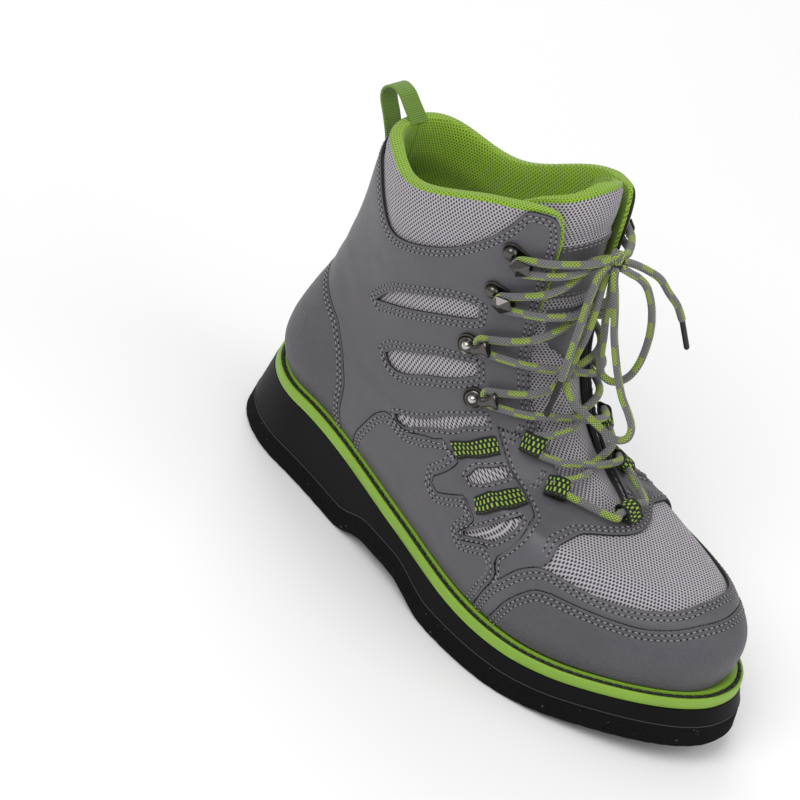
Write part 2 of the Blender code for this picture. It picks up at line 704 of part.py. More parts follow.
def make_tube(name, line, radius, material, sides=6):
    """Closed tube of plain rings along a line of points in millimetres."""
    bm = bmesh.new()
    rings = []
    side_way = None
    for k, point in enumerate(line):
        along = (line[min(k + 1, len(line) - 1)] - line[max(k - 1, 0)]).normalized()
        if side_way is None:
            side_way = along.orthogonal()
        side_way = (side_way - along * side_way.dot(along)).normalized()
        other = along.cross(side_way)
        ring = []
        for n in range(sides):
            angle = 2 * math.pi * n / sides
            ring.append(bm.verts.new(metres(
                point + (side_way * math.cos(angle) + other * math.sin(angle)) * radius)))
        rings.append(ring)
    for low, high in zip(rings, rings[1:]):
        for n in range(sides):
            bm.faces.new((low[n], low[(n + 1) % sides], high[(n + 1) % sides], high[n]))
    bm.faces.new(rings[0])
    bm.faces.new(rings[-1])
    return finish_object(name, bm, material)


def rise_per_v(a, v):
    """Millimetres up the upper for each unit of v at a place."""
    return (on_last(a, v + .01) - on_last(a, v - .01)).length / .02


def round_per_a(a, v):
    """Millimetres round the upper for each unit of a at a place."""
    return (on_last(a + .01, v) - on_last(a - .01, v)).length / .02


def anchors():
    """Places where the lace leaves its loops and hooks, from the lowest pair up."""
    clear = LOOP_REACH / 2 + 3 * GAP + LACE
    beside_post = HOOK_POST / 2 + 2 * GAP + LACE / 2
    places = [(a - clear / round_per_a(a, v), v, LOOP_WIDTH * .35 / rise_per_v(a, v))
              for _, a, v in reversed(LACE_LOOPS)]
    places += [(hook.head_a, hook.head_v, beside_post / rise_per_v(hook.head_a, hook.head_v))
               for hook in reversed(HOOKS)]
    return places


def make_laces(material):
    """The bar at the throat's base, the crossings above it and the strands to the knot."""
    low_pass = 0.8
    high_pass = low_pass + LACE * .8
    places = anchors()
    for k, ((a0, v0, step0), (a1, v1, step1)) in enumerate(zip(places, places[1:])):
        under = strand((-a0, v0 + step0), (a1, v1 - step1), low_pass)
        over = strand((a0, v0 + step0), (-a1, v1 - step1), high_pass)
        cross = make_tube("lace_cross_%d" % (k + 1), under, LACE / 2, material)
        apply_boolean(cross, make_tube("over", over, LACE / 2, material), "UNION")
    a, v, step = places[0]
    loop = seat((0.0, CENTRE_LOOP_V), (0.0, CENTRE_LOOP_V + .05), SKIN_GAP + PANEL + LOOP_SEAT)
    ends = [off_last(side * a, v - step, lace_height()) for side in (-1, 1)]
    if (loop @ Vector((0, 1, 0)) - loop @ Vector()).y < 0:
        ends.reverse()
    through = [from_metres(loop @ Vector((0, y, loop_height() / 2)))
               for y in (-LOOP_WIDTH, -LOOP_WIDTH * .7, LOOP_WIDTH * .7, LOOP_WIDTH)]
    make_tube("lace_bar", [ends[0], *through, ends[1]], LACE / 2, material)
    a, v, step = places[-1]
    knot = Vector(KNOT_CENTRE)
    for side, word in ((-1, "outer"), (1, "inner")):
        arrive = knot + Vector((-.45, side * .88, .15)).normalized() * (KNOT / 2 + 6 * GAP)
        line = []
        for k in range(7):
            t = k / 6
            along = off_last(side * a * (1 - t * .84), v + step, lace_height() - math.sin(math.pi * t))
            line.append(along.lerp(arrive, t * t))
        make_tube("lace_top_" + word, line, LACE / 2, material)


def smooth_route(points):
    """Even points, about a step apart, on a smooth curve through a cord's route."""
    route = [Vector(p) for p in points]
    route = [2 * route[0] - route[1], *route, 2 * route[-1] - route[-2]]
    fine = []
    for k in range(1, len(route) - 2):
        fine += [curve_through(*route[k - 1:k + 3], n / 12) for n in range(12)]
    fine.append(route[-2])
    lengths = [0.0]
    for p, q in zip(fine, fine[1:]):
        lengths.append(lengths[-1] + (q - p).length)
    count = round(lengths[-1] / CORD_STEP)
    return [place_along(fine, lengths, lengths[-1] * k / count) for k in range(count + 1)]


def place_along(points, lengths, distance):
    """Point at a distance along a run of points."""
    for k in range(1, len(points)):
        if distance <= lengths[k] or k == len(points) - 1:
            t = (distance - lengths[k - 1]) / (lengths[k] - lengths[k - 1])
            return points[k - 1].lerp(points[k], min(t, 1.0))


def make_cord(name, points, material):
    """Free lace as a curve with a round bevel and closed ends."""
    curve = bpy.data.curves.new(name, "CURVE")
    curve.dimensions = "3D"
    curve.bevel_depth = LACE / 2 * MM
    curve.bevel_resolution = 2
    curve.use_fill_caps = True
    spline = curve.splines.new("POLY")
    route = smooth_route(points)
    spline.points.add(len(route) - 1)
    for point, place in zip(spline.points, route):
        point.co = (*metres(place), 1.0)
    curve.materials.append(material)
    bpy.context.scene.collection.objects.link(bpy.data.objects.new(name, curve))


def make_bow(lace, black):
    """Knot, two bow loops and two ends with their tips."""
    knot = Matrix.Translation(metres(KNOT_CENTRE)) @ Matrix.Scale(MM, 4)
    half = KNOT / 2
    rings = [(half * math.cos(angle), half * math.sin(angle))
             for angle in (math.radians(d) for d in (-75, -40, 0, 40, 75))]
    turned("lace_knot", knot, (0, 0), rings, 8, lace)
    for name, points in BOW.items():
        make_cord(name, points, lace)
    for word, tip in AGLET_TIPS.items():
        last = Vector(BOW["lace_end_" + word][-1])
        along = (Vector(tip) - last).normalized()
        make_tube("aglet_" + word, [last + along * 3 * GAP, Vector(tip)], AGLET / 2, black, 8)


def make_ribbon(name, line, width, thick, material):
    """Ribbon of a width along Y that follows a line of (x, z) points in millimetres."""
    bm = bmesh.new()
    rings = []
    for k, (x, z) in enumerate(line):
        before = line[max(k - 1, 0)]
        after = line[min(k + 1, len(line) - 1)]
        along = Vector((after[0] - before[0], after[1] - before[1])).normalized()
        side = Vector((-along.y, along.x)) * thick / 2
        ring = []
        for y, way in ((-1, -1), (1, -1), (1, 1), (-1, 1)):
            ring.append(bm.verts.new(metres((x + way * side.x, y * width / 2, z + way * side.y))))
        rings.append(ring)
    for low, high in zip(rings, rings[1:]):
        for n in range(4):
            bm.faces.new((low[n], low[(n + 1) % 4], high[(n + 1) % 4], high[n]))
    bm.faces.new(rings[0])
    bm.faces.new(rings[-1])
    return finish_object(name, bm, material)


def make_fittings(metal, cloth, green, lace, black):
    """Hooks, lace loops, pull loop and laces."""
    for side, word in ((-1, "outer"), (1, "inner")):
        for hook in HOOKS:
            make_hook("hook_%s_%s" % (word, hook.name), hook, side, metal)
        for name, a, v in LACE_LOOPS:
            make_lace_loop("lace_loop_%s_%s" % (word, name), (side * a, v), (side * (a - .05), v), cloth)
    make_lace_loop("lace_loop_centre", (0.0, CENTRE_LOOP_V), (0.0, CENTRE_LOOP_V + .05), cloth)
    make_ribbon("pull_loop", PULL_LINE, PULL_WIDTH, PULL_THICK, green)
    make_laces(lace)
    make_bow(lace, black)


# The sole

def outline_ring(offset, flare=0.0):
    """Points around the upper's lower edge, moved out in plan, with a share of the flare."""
    ring = []
    count = 2 * COLUMNS
    for k in range(count):
        a = -1 + 2 * k / count
        point = on_last(a, 0.0)
        along = on_last(a + .008, 0.0) - on_last(a - .008, 0.0)
        outward = Vector((along.y, -along.x, 0)).normalized()
        toward_big_toe = max(outward.x + outward.y, 0.0) ** 2 / 2 * ease(point.x / LENGTH, .62, .90)
        moved = point + outward * (offset + flare * SIDE_FLARE)
        moved += outward * (BIG_TOE * toward_big_toe * ease(offset, 0.0, WELT_LEDGE / 2))
        moved.x -= flare * HEEL_FLARE * (1 - ease(moved.x / LENGTH, 0.0, .15))
        moved.x += flare * TOE_FLARE * ease(moved.x / LENGTH, .84, 1.0)
        ring.append(moved)
    return ring


def ring_at(offset, level, lift, flare=0.0):
    """Outline ring at a level of the sole plus a lift."""
    return [Vector((p.x, p.y, level(p.x) + lift)) for p in outline_ring(offset, flare)]


def close_across(bm, ring):
    """Close a ring with strips across the sole, from the heel to the toe."""
    half = len(ring) // 2
    for k in range(half):
        left = (ring[k], ring[k + 1])
        right = (ring[-k] if k else ring[0], ring[-(k + 1)])
        corners = [left[0], left[1], right[1], right[0]]
        bm.faces.new([v for n, v in enumerate(corners) if v not in corners[:n]])


def ringed_solid(name, rings, material, hollow=False):
    """Solid through a run of rings: closed across its ends, or a hollow band."""
    bm = bmesh.new()
    loops = [[bm.verts.new(metres(p)) for p in ring] for ring in rings]
    pairs = list(zip(loops, loops[1:]))
    if hollow:
        pairs.append((loops[-1], loops[0]))
    for low, high in pairs:
        for k in range(len(low)):
            n = (k + 1) % len(low)
            bm.faces.new((low[k], low[n], high[n], high[k]))
    if not hollow:
        close_across(bm, loops[0])
        close_across(bm, loops[-1])
    return finish_object(name, bm, material)


def felt_top(x):
    """Height of the felt's upper face."""
    return sole_bottom(x) + FELT


def make_sole(felt, rubber, lime, board):
    """Felt, midsole, welt and insole."""
    edge = WELT_LEDGE
    ringed_solid("outsole_felt", (
        ring_at(edge - SOLE_ROUND, sole_bottom, 0.0, 1.0),
        ring_at(edge, sole_bottom, SOLE_ROUND, 1.0),
        ring_at(edge, felt_top, 0.0, .75)), felt)
    ringed_solid("midsole", (
        ring_at(edge, felt_top, GAP, .75),
        ring_at(edge - .5, sole_top, -WELT - GAP, .2),
        ring_at(-WELT_SEAT - GAP, sole_top, -WELT - GAP),
        ring_at(-WELT_SEAT - GAP, sole_top, 0.0)), rubber)
    ringed_solid("welt", (
        ring_at(-WELT_SEAT, sole_top, -WELT),
        ring_at(edge - .3, sole_top, -WELT, .15),
        ring_at(edge, sole_top, -WELT * .24),
        ring_at(edge - 1.1, sole_top, -.9),
        ring_at(edge - 2.1, sole_top, -1.7),
        ring_at(edge - 3.4, sole_top, -1.7),
        ring_at(3.0, sole_top, .7),
        ring_at(.9, sole_top, 0.0),
        ring_at(-WELT_SEAT, sole_top, 0.0)), lime, hollow=True)
    inside = -WALL - GAP - .2
    ringed_solid("insole", (
        ring_at(inside, sole_top, GAP),
        ring_at(inside, sole_top, GAP + INSOLE)), board)


# Tongue

def tongue_recess(a, v):
    """How far the tongue lies back behind the line of the throat's edges."""
    depth = TONGUE_RECESS * ease(v, .56, .70) + TONGUE_LEAN * ease(v, .80, .92)
    return depth * max(1 - (a / .24) ** 2, 0.0)


def make_tongue(material):
    """Padded tongue behind the throat, from under the vamp to above the rim."""
    columns = 10
    rows = 12
    bottom = .50
    top = 1.012
    bm = bmesh.new()
    faces_in = []
    faces_out = []
    for j in range(rows + 1):
        v = bottom + (top - bottom) * j / rows
        inner_row = []
        outer_row = []
        for i in range(columns + 1):
            s = -1 + 2 * i / columns
            a = s * (.285 + .075 * ease(v, .80, .95))
            v_here = v - .03 * abs(s) ** 3 * (j / rows)
            thick = TONGUE_EDGE + (TONGUE - TONGUE_EDGE) * (1 - s * s)
            swell = ease(v, .90, .98)
            face = -WALL - 2 * GAP - (COLLAR_PAD - WALL) * ease(v, .82, .93) * ease(abs(a), .17, .27)
            face -= tongue_recess(a, v)
            outer_row.append(bm.verts.new(metres(off_last(a, v_here, face))))
            inner_row.append(bm.verts.new(metres(off_last(a, v_here, face - thick - 3 * swell * (1 - s * s)))))
        faces_in.append(inner_row)
        faces_out.append(outer_row)
    for grid in (faces_in, faces_out):
        for j in range(rows):
            for i in range(columns):
                bm.faces.new((grid[j][i], grid[j][i + 1], grid[j + 1][i + 1], grid[j + 1][i]))
    border = [(0, i) for i in range(columns)] + [(j, columns) for j in range(rows)]
    border += [(rows, columns - i) for i in range(columns)] + [(rows - j, 0) for j in range(rows)]
    for (j0, i0), (j1, i1) in zip(border, border[1:] + border[:1]):
        bm.faces.new((faces_in[j0][i0], faces_in[j1][i1], faces_out[j1][i1], faces_out[j0][i0]))
    return finish_object("tongue", bm, material)


def clear_scene():
    """Remove the objects that are there at the start."""
    for obj in list(bpy.data.objects):
        bpy.data.objects.remove(obj)


def main():
    """Build every piece of the boot."""
    clear_scene()
    leather = make_material("leather", (.155, .155, .165), .55)
    tough = make_material("toe_leather", (.13, .13, .14), .7)
    mesh_cloth = make_material("spacer_mesh", (.42, .40, .43), .85)
    webbing = make_material("webbing", (.05, .06, .03), .8)
    felt = make_material("felt", (.012, .012, .013), .95)
    rubber = make_material("midsole_rubber", (.015, .015, .016), .6)
    lime = make_material("welt_lime", (.36, .62, .05), .5)
    board = make_material("insole_cloth", (.02, .02, .02), .9)
    metal = make_material("hook_metal", (.09, .085, .08), .35, 1.0)
    green = make_material("pull_webbing", (.14, .33, .04), .8)
    lace = make_material("lace_braid", (.20, .22, .13), .85)
    black = make_material("aglet_plastic", (.02, .02, .02), .4)
    make_sole(felt, rubber, lime, board)
    make_upper(mesh_cloth)
    make_panels(leather, tough, webbing)
    make_tongue(mesh_cloth)
    make_fittings(metal, webbing, green, lace, black)


main()
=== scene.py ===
"""Looks of a laced wading boot with a felt sole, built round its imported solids.

Sizes are millimetres from the back of the last and become metres in the part's
own frame where a mesh is made. A place on the upper is (a, v): a is 0 at the
middle of the front and -1 or +1 at the middle of the back, minus on the outer
side, and v is 0 at the welt and 1 at the collar's edge.
"""
import logging
import math
from collections import namedtuple
from dataclasses import dataclass, field
from enum import Enum
from typing import Any, Callable, Iterable, Optional, Sequence

import bmesh
import bpy
import numpy as np
from mathutils import Matrix, Vector, geometry, kdtree


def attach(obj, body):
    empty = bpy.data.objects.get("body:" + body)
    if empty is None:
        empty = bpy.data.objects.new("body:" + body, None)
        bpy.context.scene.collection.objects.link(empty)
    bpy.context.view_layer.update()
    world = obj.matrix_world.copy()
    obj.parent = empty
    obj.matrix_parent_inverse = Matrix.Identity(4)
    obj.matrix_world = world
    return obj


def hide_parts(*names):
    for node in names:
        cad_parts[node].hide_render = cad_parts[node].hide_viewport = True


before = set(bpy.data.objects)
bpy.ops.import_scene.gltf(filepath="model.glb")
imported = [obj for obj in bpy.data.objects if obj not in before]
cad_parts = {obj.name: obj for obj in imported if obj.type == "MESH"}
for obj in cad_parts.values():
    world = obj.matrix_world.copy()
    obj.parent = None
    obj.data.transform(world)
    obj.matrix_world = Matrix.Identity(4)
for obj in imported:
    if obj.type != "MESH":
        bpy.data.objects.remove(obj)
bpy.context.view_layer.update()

LOG = logging.getLogger("boot")
MM = 0.001
SIDES = ((-1, "outer"), (1, "inner"))
# The upper's wall, and the height of the leather's face over the last, in millimetres
WALL = 2.4
LEATHER_FACE = 2.4

Place = tuple[float, float]
Line = Sequence[Place]
Section = namedtuple("Section", "name back_x front_x back_rise front_rise "
                     "heel waist ball toe back_cap front_cap")
Crease = namedtuple("Crease", "a v a_end v_end width depth")
Hook = namedtuple("Hook", "name rivet_a rivet_v head_a head_v plate")
Band = namedtuple("Band", "name front front_low front_high back back_low back_high "
                  "middle_low middle_high")

# Edges on the upper, each a list of (a, v) or (v, a) shares
THROAT_BASE = ((0.0, .555), (.10, .557), (.14, .568), (.17, .592), (.21, .575), (.26, .558))
THROAT_EDGE = ((.56, .160), (.62, .172), (.67, .182), (.72, .205), (.79, .204), (.86, .193), (1.0, .178))
COLLAR_SEAM = ((.29, 1.0), (.32, .982), (.37, .952), (.44, .925), (.52, .908), (.60, .896),
               (.64, .902), (.69, .923), (.78, .955), (1.0, .985))
FOOT = .012
CAP_TOP = ((0.0, .262), (.07, .255), (.145, .226), (.20, .209), (.318, .205), (.343, .188),
           (.365, .129), (.385, FOOT))
BAND_TOP = ((0.0, .318), (.05, .315), (.14, .280), (.216, .256), (.265, .254), (.325, .262),
            (.344, .250), (.37, .206), (.394, .122), (.409, FOOT))
VAMP_WINDOW_TOP = ((0.0, .502), (.12, .487), (.23, .443), (.30, .354), (.325, .285))
FACING_BACK = ((.388, .152), (.392, .157), (.397, .205), (.34, .37), (.308, .44), (.296, .50),
               (.296, .65))
PANEL_FRONT = ((.410, FOOT), (.395, .152), (.406, .200), (.420, .203), (.450, .158), (.459, .169),
               (.440, .249), (.458, .290), (.503, .208), (.514, .218), (.512, .250), (.446, .430),
               (.464, .480))
PANEL_BACK = ((.464, .480), (.570, .300), (.601, .300), (.625, .228), (.641, .115), (.654, FOOT))
COUNTER_EDGE = ((.679, FOOT), (.690, .19), (.70, .25), (.735, .49), (.80, .545), (.90, .575),
                (1.0, .545))
FACING_TOP = .650
WINDOWS = {
    "ankle": ((.345, .812), (.345, .835), (.413, .826), (.50, .797), (.571, .760), (.612, .722),
              (.635, .695), (.568, .729), (.456, .778)),
    "instep": ((.335, .722), (.335, .742), (.448, .704), (.562, .633), (.589, .600), (.580, .580),
               (.557, .583), (.474, .648)),
    "waist": ((.320, .646), (.320, .664), (.380, .632), (.441, .587), (.520, .462), (.587, .333),
              (.583, .309), (.568, .319), (.492, .476), (.392, .603)),
    "middle": ((.309, .550), (.309, .578), (.350, .537), (.396, .480), (.443, .378), (.440, .364),
               (.415, .403), (.360, .484)),
    "ball": ((.346, .385), (.343, .398), (.380, .338), (.405, .292), (.452, .186), (.450, .176),
             (.434, .200), (.413, .228), (.406, .236), (.390, .276), (.371, .322)),
}
BANDS = (
    Band("upper", .306, .602, .635, .437, .449, .513, .543, .592),
    Band("lower", .307, .466, .513, .432, .277, .333, .379, .441),
)
# Soft folds where the boot bends, each from one place to another, in millimetres wide and deep
CREASES = (
    Crease(.36, .60, .60, .50, 11.0, -.5),
    Crease(.40, .545, .66, .43, 10.0, -.4),
    Crease(-.36, .60, -.60, .50, 11.0, -.5),
    Crease(-.40, .545, -.66, .43, 10.0, -.4),
    Crease(-.26, .50, -.33, .33, 8.0, -.9),
    Crease(.26, .50, .33, .33, 8.0, -.9),
    Crease(-.72, .62, -.98, .70, 10.0, -.9),
    Crease(.72, .62, .98, .70, 10.0, -.9),
    Crease(-.42, .86, -.62, .80, 8.0, -.6),
    Crease(-.10, .40, .14, .38, 9.0, -.7),
)
HOOKS = (
    Hook("1", .302, .935, .266, .922, True),
    Hook("2", .321, .870, .284, .863, True),
    Hook("3", .357, .769, .311, .785, False),
    Hook("4", .344, .685, .296, .703, False),
)
LACE_LOOPS = (("upper", .213, .652), ("lower", .203, .572))
CENTRE_LOOP_V = .545
# Height of the lace loops' own frames over the last
LOOP_FOOT = LEATHER_FACE + .85
KNOT_CENTRE = (168.0, 0.0, 216.0)
BOW = {
    "lace_end_inner": ((170.2, 5.4, 213.4), (172, 12.5, 210.8), (174.2, 22, 205.9), (177.5, 31, 200.2),
                       (180.9, 38, 191.8), (184, 45, 184), (186.6, 50, 175.5)),
    "bow_loop_inner": ((172.8, 1.6, 212.2), (175.2, 6.5, 209.4), (177.3, 13, 205.6), (180, 19, 199.4),
                       (184, 24, 187), (187, 26, 172.5), (188, 25.5, 157), (186.5, 22.5, 146.5),
                       (181.5, 18, 141.5), (175.8, 13.8, 145), (173.6, 11.5, 156), (172.4, 9.5, 167),
                       (170.6, 8, 177), (169.6, 6.3, 188), (168.8, 4.2, 199), (169, 2.2, 210.1)),
    "bow_loop_outer": ((172, -2.7, 211.8), (174.2, -3, 206), (176, -1, 199), (177.6, 1.5, 190),
                       (182.5, 2.5, 176), (191.2, 2, 162.3), (200, 1.2, 152), (207, .8, 147),
                       (212.8, 0, 141.8), (213.6, -1.6, 135.8), (208.2, -3.6, 131.9), (198, -6, 133.6),
                       (187, -11, 138.4), (180.2, -14, 142.8), (174.9, -12.7, 149.1), (173.2, -9.6, 158),
                       (173.9, -8.3, 173.7), (172.4, -6.3, 186), (170.6, -5.2, 196), (168.9, -4, 203),
                       (167.7, -2.2, 210)),
    "lace_end_outer": ((168.6, -5.4, 212.8), (168.9, -9.6, 207.5), (169.8, -11.6, 200),
                       (170.6, -12.8, 190.2), (172, -14.2, 182), (173.6, -16, 174.7), (175.4, -18, 163),
                       (176.6, -19, 151.2)),
}
AGLET_TIPS = {"inner": (193.6, 54.0, 160.3), "outer": (180.6, -26.5, 133.1)}
PULL_LINE = ((18.7, 176.0), (17.5, 184.0), (11.5, 194.0), (6.0, 202.0), (5.5, 207.5), (9.5, 211.6),
             (15.5, 211.4), (20.5, 208.0), (24.3, 205.0))


def mix(rows: Line, t: float) -> float:
    """Value at t of a short table of (t, value) rows, straight between them."""
    return float(np.interp(t, [row[0] for row in rows], [row[1] for row in rows]))


def ease(t: float, low: float, high: float) -> float:
    """Smooth step from 0 at low to 1 at high."""
    t = min(max((t - low) / (high - low), 0.0), 1.0)
    return t * t * (3 - 2 * t)


def curve_through(p0: Any, p1: Any, p2: Any, p3: Any, t: float) -> Any:
    """Smooth curve between p1 and p2, guided by their neighbours."""
    return 0.5 * (2 * p1 + (p2 - p0) * t + (2 * p0 - 5 * p1 + 4 * p2 - p3) * t * t
                  + (3 * p1 - p0 - 3 * p2 + p3) * t ** 3)


def metres(points: Any) -> np.ndarray:
    """Points in millimetres from the back of the last, as metres in the part's frame."""
    return (np.asarray(points, float).reshape(-1, 3) - (BOOT.heel_centre, 0.0, 0.0)) * MM


def unit(vectors: Any) -> np.ndarray:
    """A vector, or each of several in rows, made one long."""
    return vectors / np.linalg.norm(vectors, axis=-1, keepdims=True)


def run_along(points: np.ndarray) -> np.ndarray:
    """Distance along a line at each of its points, from 0."""
    return np.concatenate([[0.0], np.cumsum(np.linalg.norm(np.diff(points, axis=0), axis=1))])


def at(spots: Any, run: np.ndarray, points: np.ndarray) -> np.ndarray:
    """Points of a line at distances along it, where run holds the distances of its own points."""
    return np.stack([np.interp(spots, run, column) for column in points.T], axis=-1)


def both_sides(line: Line) -> tuple:
    """A line from the front's middle outward, continued on the other side."""
    return tuple((-a, v) for a, v in reversed(line)) + tuple(line[1:])


@dataclass
class Last:
    """The boot's shape: the surface that every piece of the upper lies on."""

    length: float = 315.0
    ball_half: float = 50.0
    shaft_rise: float = 155.0
    heel_centre: float = 45.0
    toe_shift: float = 9.0
    felt: float = 13.0
    midsole_heel: float = 26.6
    midsole_fore: float = 9.0
    welt: float = 7.4
    arch_raise: float = 7.9
    toe_spring: float = 14.1
    sag_top: float = .35
    gap: float = 0.3
    front_power: float = 2.2
    columns: int = 480
    rows: int = 220
    top: float = 1.05
    stations: tuple = (0.10, 0.42, 0.70, 0.90)
    side_factors: dict = field(default_factory=lambda: {-1: (1.0, 1.12, 1.06, 1.0),
                                                        1: (1.0, .90, .95, 1.0)})
    collar_dip: dict = field(default_factory=lambda: {-1: 10.0, 1: 18.0})
    sections: tuple = (
        Section("feather", .025, .970, .000, .000, .70, .80, 1.00, .80, .125, .20),
        Section("wall", .013, .978, .077, .084, .78, .86, 1.06, .86, .130, .20),
        Section("bumper", .013, .975, .142, .161, .78, .86, 1.04, .84, .135, .20),
        Section("shoulder", .019, .949, .200, .232, .76, .84, .98, .76, .140, .21),
        Section("crown", .025, .902, .245, .277, .74, .82, .92, .66, .150, .22),
        Section("vamp", .032, .832, .290, .290, .72, .78, .86, .58, .160, .24),
        Section("ball", .041, .756, .342, .310, .70, .76, .80, .54, .170, .25),
        Section("throat", .051, .686, .406, .348, .68, .74, .76, .52, .190, .27),
        Section("instep", .060, .613, .497, .465, .66, .72, .72, .52, .220, .28),
        Section("bend", .067, .559, .606, .639, .66, .74, .72, .54, .260, .28),
        Section("ankle", .070, .533, .723, .839, .68, .78, .74, .58, .300, .28),
        Section("cuff", .070, .521, .858, 1.058, .72, .82, .78, .62, .320, .28),
        Section("rim", .070, .511, 1.000, 1.277, .74, .84, .80, .66, .330, .28),
    )

    def sole_bottom(self, x: float) -> float:
        """Height of the felt's underside: flat heel, raised arch, flat ball, sprung toe."""
        s = x / self.length
        arch = self.arch_raise * (ease(s, .30, .38) - ease(s, .45, .56))
        return arch + self.toe_spring * ease(s, .72, 1.05)

    def felt_top(self, x: float) -> float:
        """Height of the felt's upper face."""
        return self.sole_bottom(x) + self.felt

    def sole_top(self, x: float) -> float:
        """Height of the welt's seat, where the upper stands."""
        s = x / self.length
        layers = self.felt + self.gap + self.welt + self.gap
        lift = self.midsole_heel + (self.midsole_fore - self.midsole_heel) * ease(s, .15, .68)
        return layers + lift + self.toe_spring * ease(s, .72, 1.05)

    def section_at(self, v: float) -> Section:
        """Section at v, smooth between the table's rows."""
        last = len(self.sections) - 1
        r = min(max(v, 0.0) * last, last + 1.0)
        i = min(int(r), last - 1)
        rows = [np.array(self.sections[min(max(k, 0), last)][1:]) for k in range(i - 1, i + 3)]
        if i == 0:
            rows[0] = 2 * rows[1] - rows[2]
        if i + 2 > last:
            rows[3] = 2 * rows[2] - rows[1]
        return Section("", *(float(x) for x in curve_through(*rows, r - i)))

    def half_width(self, section: Section, side: int, t: float) -> float:
        """Half width of a section at share t of its length, before the end caps."""
        places = self.stations
        widths = [w * f * self.ball_half for w, f in
                  zip((section.heel, section.waist, section.ball, section.toe), self.side_factors[side])]
        slopes = [0.0]
        for k in (1, 2):
            slopes.append((widths[k + 1] - widths[k - 1]) / (places[k + 1] - places[k - 1]))
        slopes.append((widths[3] - widths[2]) / (places[3] - places[2]))
        if t <= places[0]:
            return widths[0]
        if t >= places[3]:
            return widths[3] + slopes[3] * (t - places[3])
        k = max(i for i in range(3) if t >= places[i])
        h = places[k + 1] - places[k]
        f = (t - places[k]) / h
        return ((2 * f ** 3 - 3 * f ** 2 + 1) * widths[k] + (f ** 3 - 2 * f ** 2 + f) * h * slopes[k]
                + (3 * f ** 2 - 2 * f ** 3) * widths[k + 1] + (f ** 3 - f ** 2) * h * slopes[k + 1])

    def surface(self, a: float, section: Section, v: float) -> tuple[float, float, float]:
        """Point of the outer face at (a, v), whose section is known."""
        side = -1 if a < 0 else 1
        t = (1 + math.cos(math.pi * abs(a))) / 2
        back = 1.0
        if t < section.back_cap:
            back = math.sqrt(max(1 - (1 - t / section.back_cap) ** 2, 0.0))
        front = 1.0
        if 1 - t < section.front_cap:
            reach = 1 - (1 - t) / section.front_cap
            front = max(1 - reach ** self.front_power, 0.0) ** (1 / self.front_power)
        x = self.length * (section.back_x + (section.front_x - section.back_x) * t)
        y = self.toe_shift * ease(x / self.length, .55, 1.0)
        y += side * self.half_width(section, side, t) * back * front
        first = self.sections[0]
        heel_z = self.sole_top(self.length * first.back_x)
        toe_z = self.sole_top(self.length * first.front_x)
        base = heel_z + (toe_z - heel_z) * t
        foot_x = self.length * (first.back_x + (first.front_x - first.back_x) * t)
        sag = max(1 - v / self.sag_top, 0.0) * (self.sole_top(foot_x) - base)
        dip = self.collar_dip[side] * ease(v, .72, 1.0) * math.sin(math.pi * min(t / .78, 1.0) ** .8) ** 2
        rise = self.shaft_rise * (section.back_rise + (section.front_rise - section.back_rise) * t)
        return x, y, base + rise + sag - dip

    def prepare(self) -> None:
        """Work out the surface and its normals once, on a fine grid, with the folds in it."""
        self.a_step = 2.0 / self.columns
        self.v_step = self.top / self.rows
        grid = np.zeros((self.rows + 1, self.columns, 3))
        for j in range(self.rows + 1):
            v = j * self.v_step
            section = self.section_at(v)
            grid[j] = [self.surface(-1 + i * self.a_step, section, v) for i in range(self.columns)]
        normal, around, upward = self.facing(grid)
        self.per_a = np.linalg.norm(around, axis=2) / (2 * self.a_step)
        self.per_v = np.linalg.norm(upward, axis=2) / self.v_step
        for crease in CREASES:
            ends = self._sample(grid, np.array([[crease.a, crease.v], [crease.a_end, crease.v_end]]))
            along = ends[1] - ends[0]
            share = np.clip(((grid - ends[0]) @ along) / (along @ along), 0, 1)
            away = np.linalg.norm(grid - (ends[0] + share[..., None] * along), axis=2)
            depth = crease.depth * np.exp(-(away / crease.width * 1.7) ** 2)
            fade = np.sin(np.pi * (0.12 + 0.76 * share))
            swell = -.35 * crease.depth * np.exp(-((away - crease.width) / crease.width * 1.9) ** 2)
            grid = grid + normal * ((depth + swell) * fade)[..., None]
        self.grid = grid
        self.normals = self.facing(grid)[0]

    @staticmethod
    def facing(grid: np.ndarray) -> tuple[np.ndarray, np.ndarray, np.ndarray]:
        """Outward normals of a grid of points, and the steps round and up that they come from."""
        around = np.roll(grid, -1, axis=1) - np.roll(grid, 1, axis=1)
        upward = np.gradient(grid, axis=0)
        return unit(np.cross(around, upward)), around, upward

    def _sample(self, table: np.ndarray, places: np.ndarray) -> np.ndarray:
        """Values of a grid table at places, straight between its points.

        Args:
            table: values on the grid, rows by columns.
            places: (a, v) pairs, one a row.

        Returns:
            One value a place.
        """
        i = ((places[:, 0] + 1) / self.a_step) % self.columns
        j = np.clip(places[:, 1] / self.v_step, 0, self.rows - 1e-6)
        i0 = i.astype(int) % self.columns
        j0 = j.astype(int)
        i1 = (i0 + 1) % self.columns
        j1 = j0 + 1
        shape = (-1,) + (1,) * (table.ndim - 2)
        fi = (i - i.astype(int)).reshape(shape)
        fj = (j - j0).reshape(shape)
        return ((table[j0, i0] * (1 - fi) + table[j0, i1] * fi) * (1 - fj)
                + (table[j1, i0] * (1 - fi) + table[j1, i1] * fi) * fj)

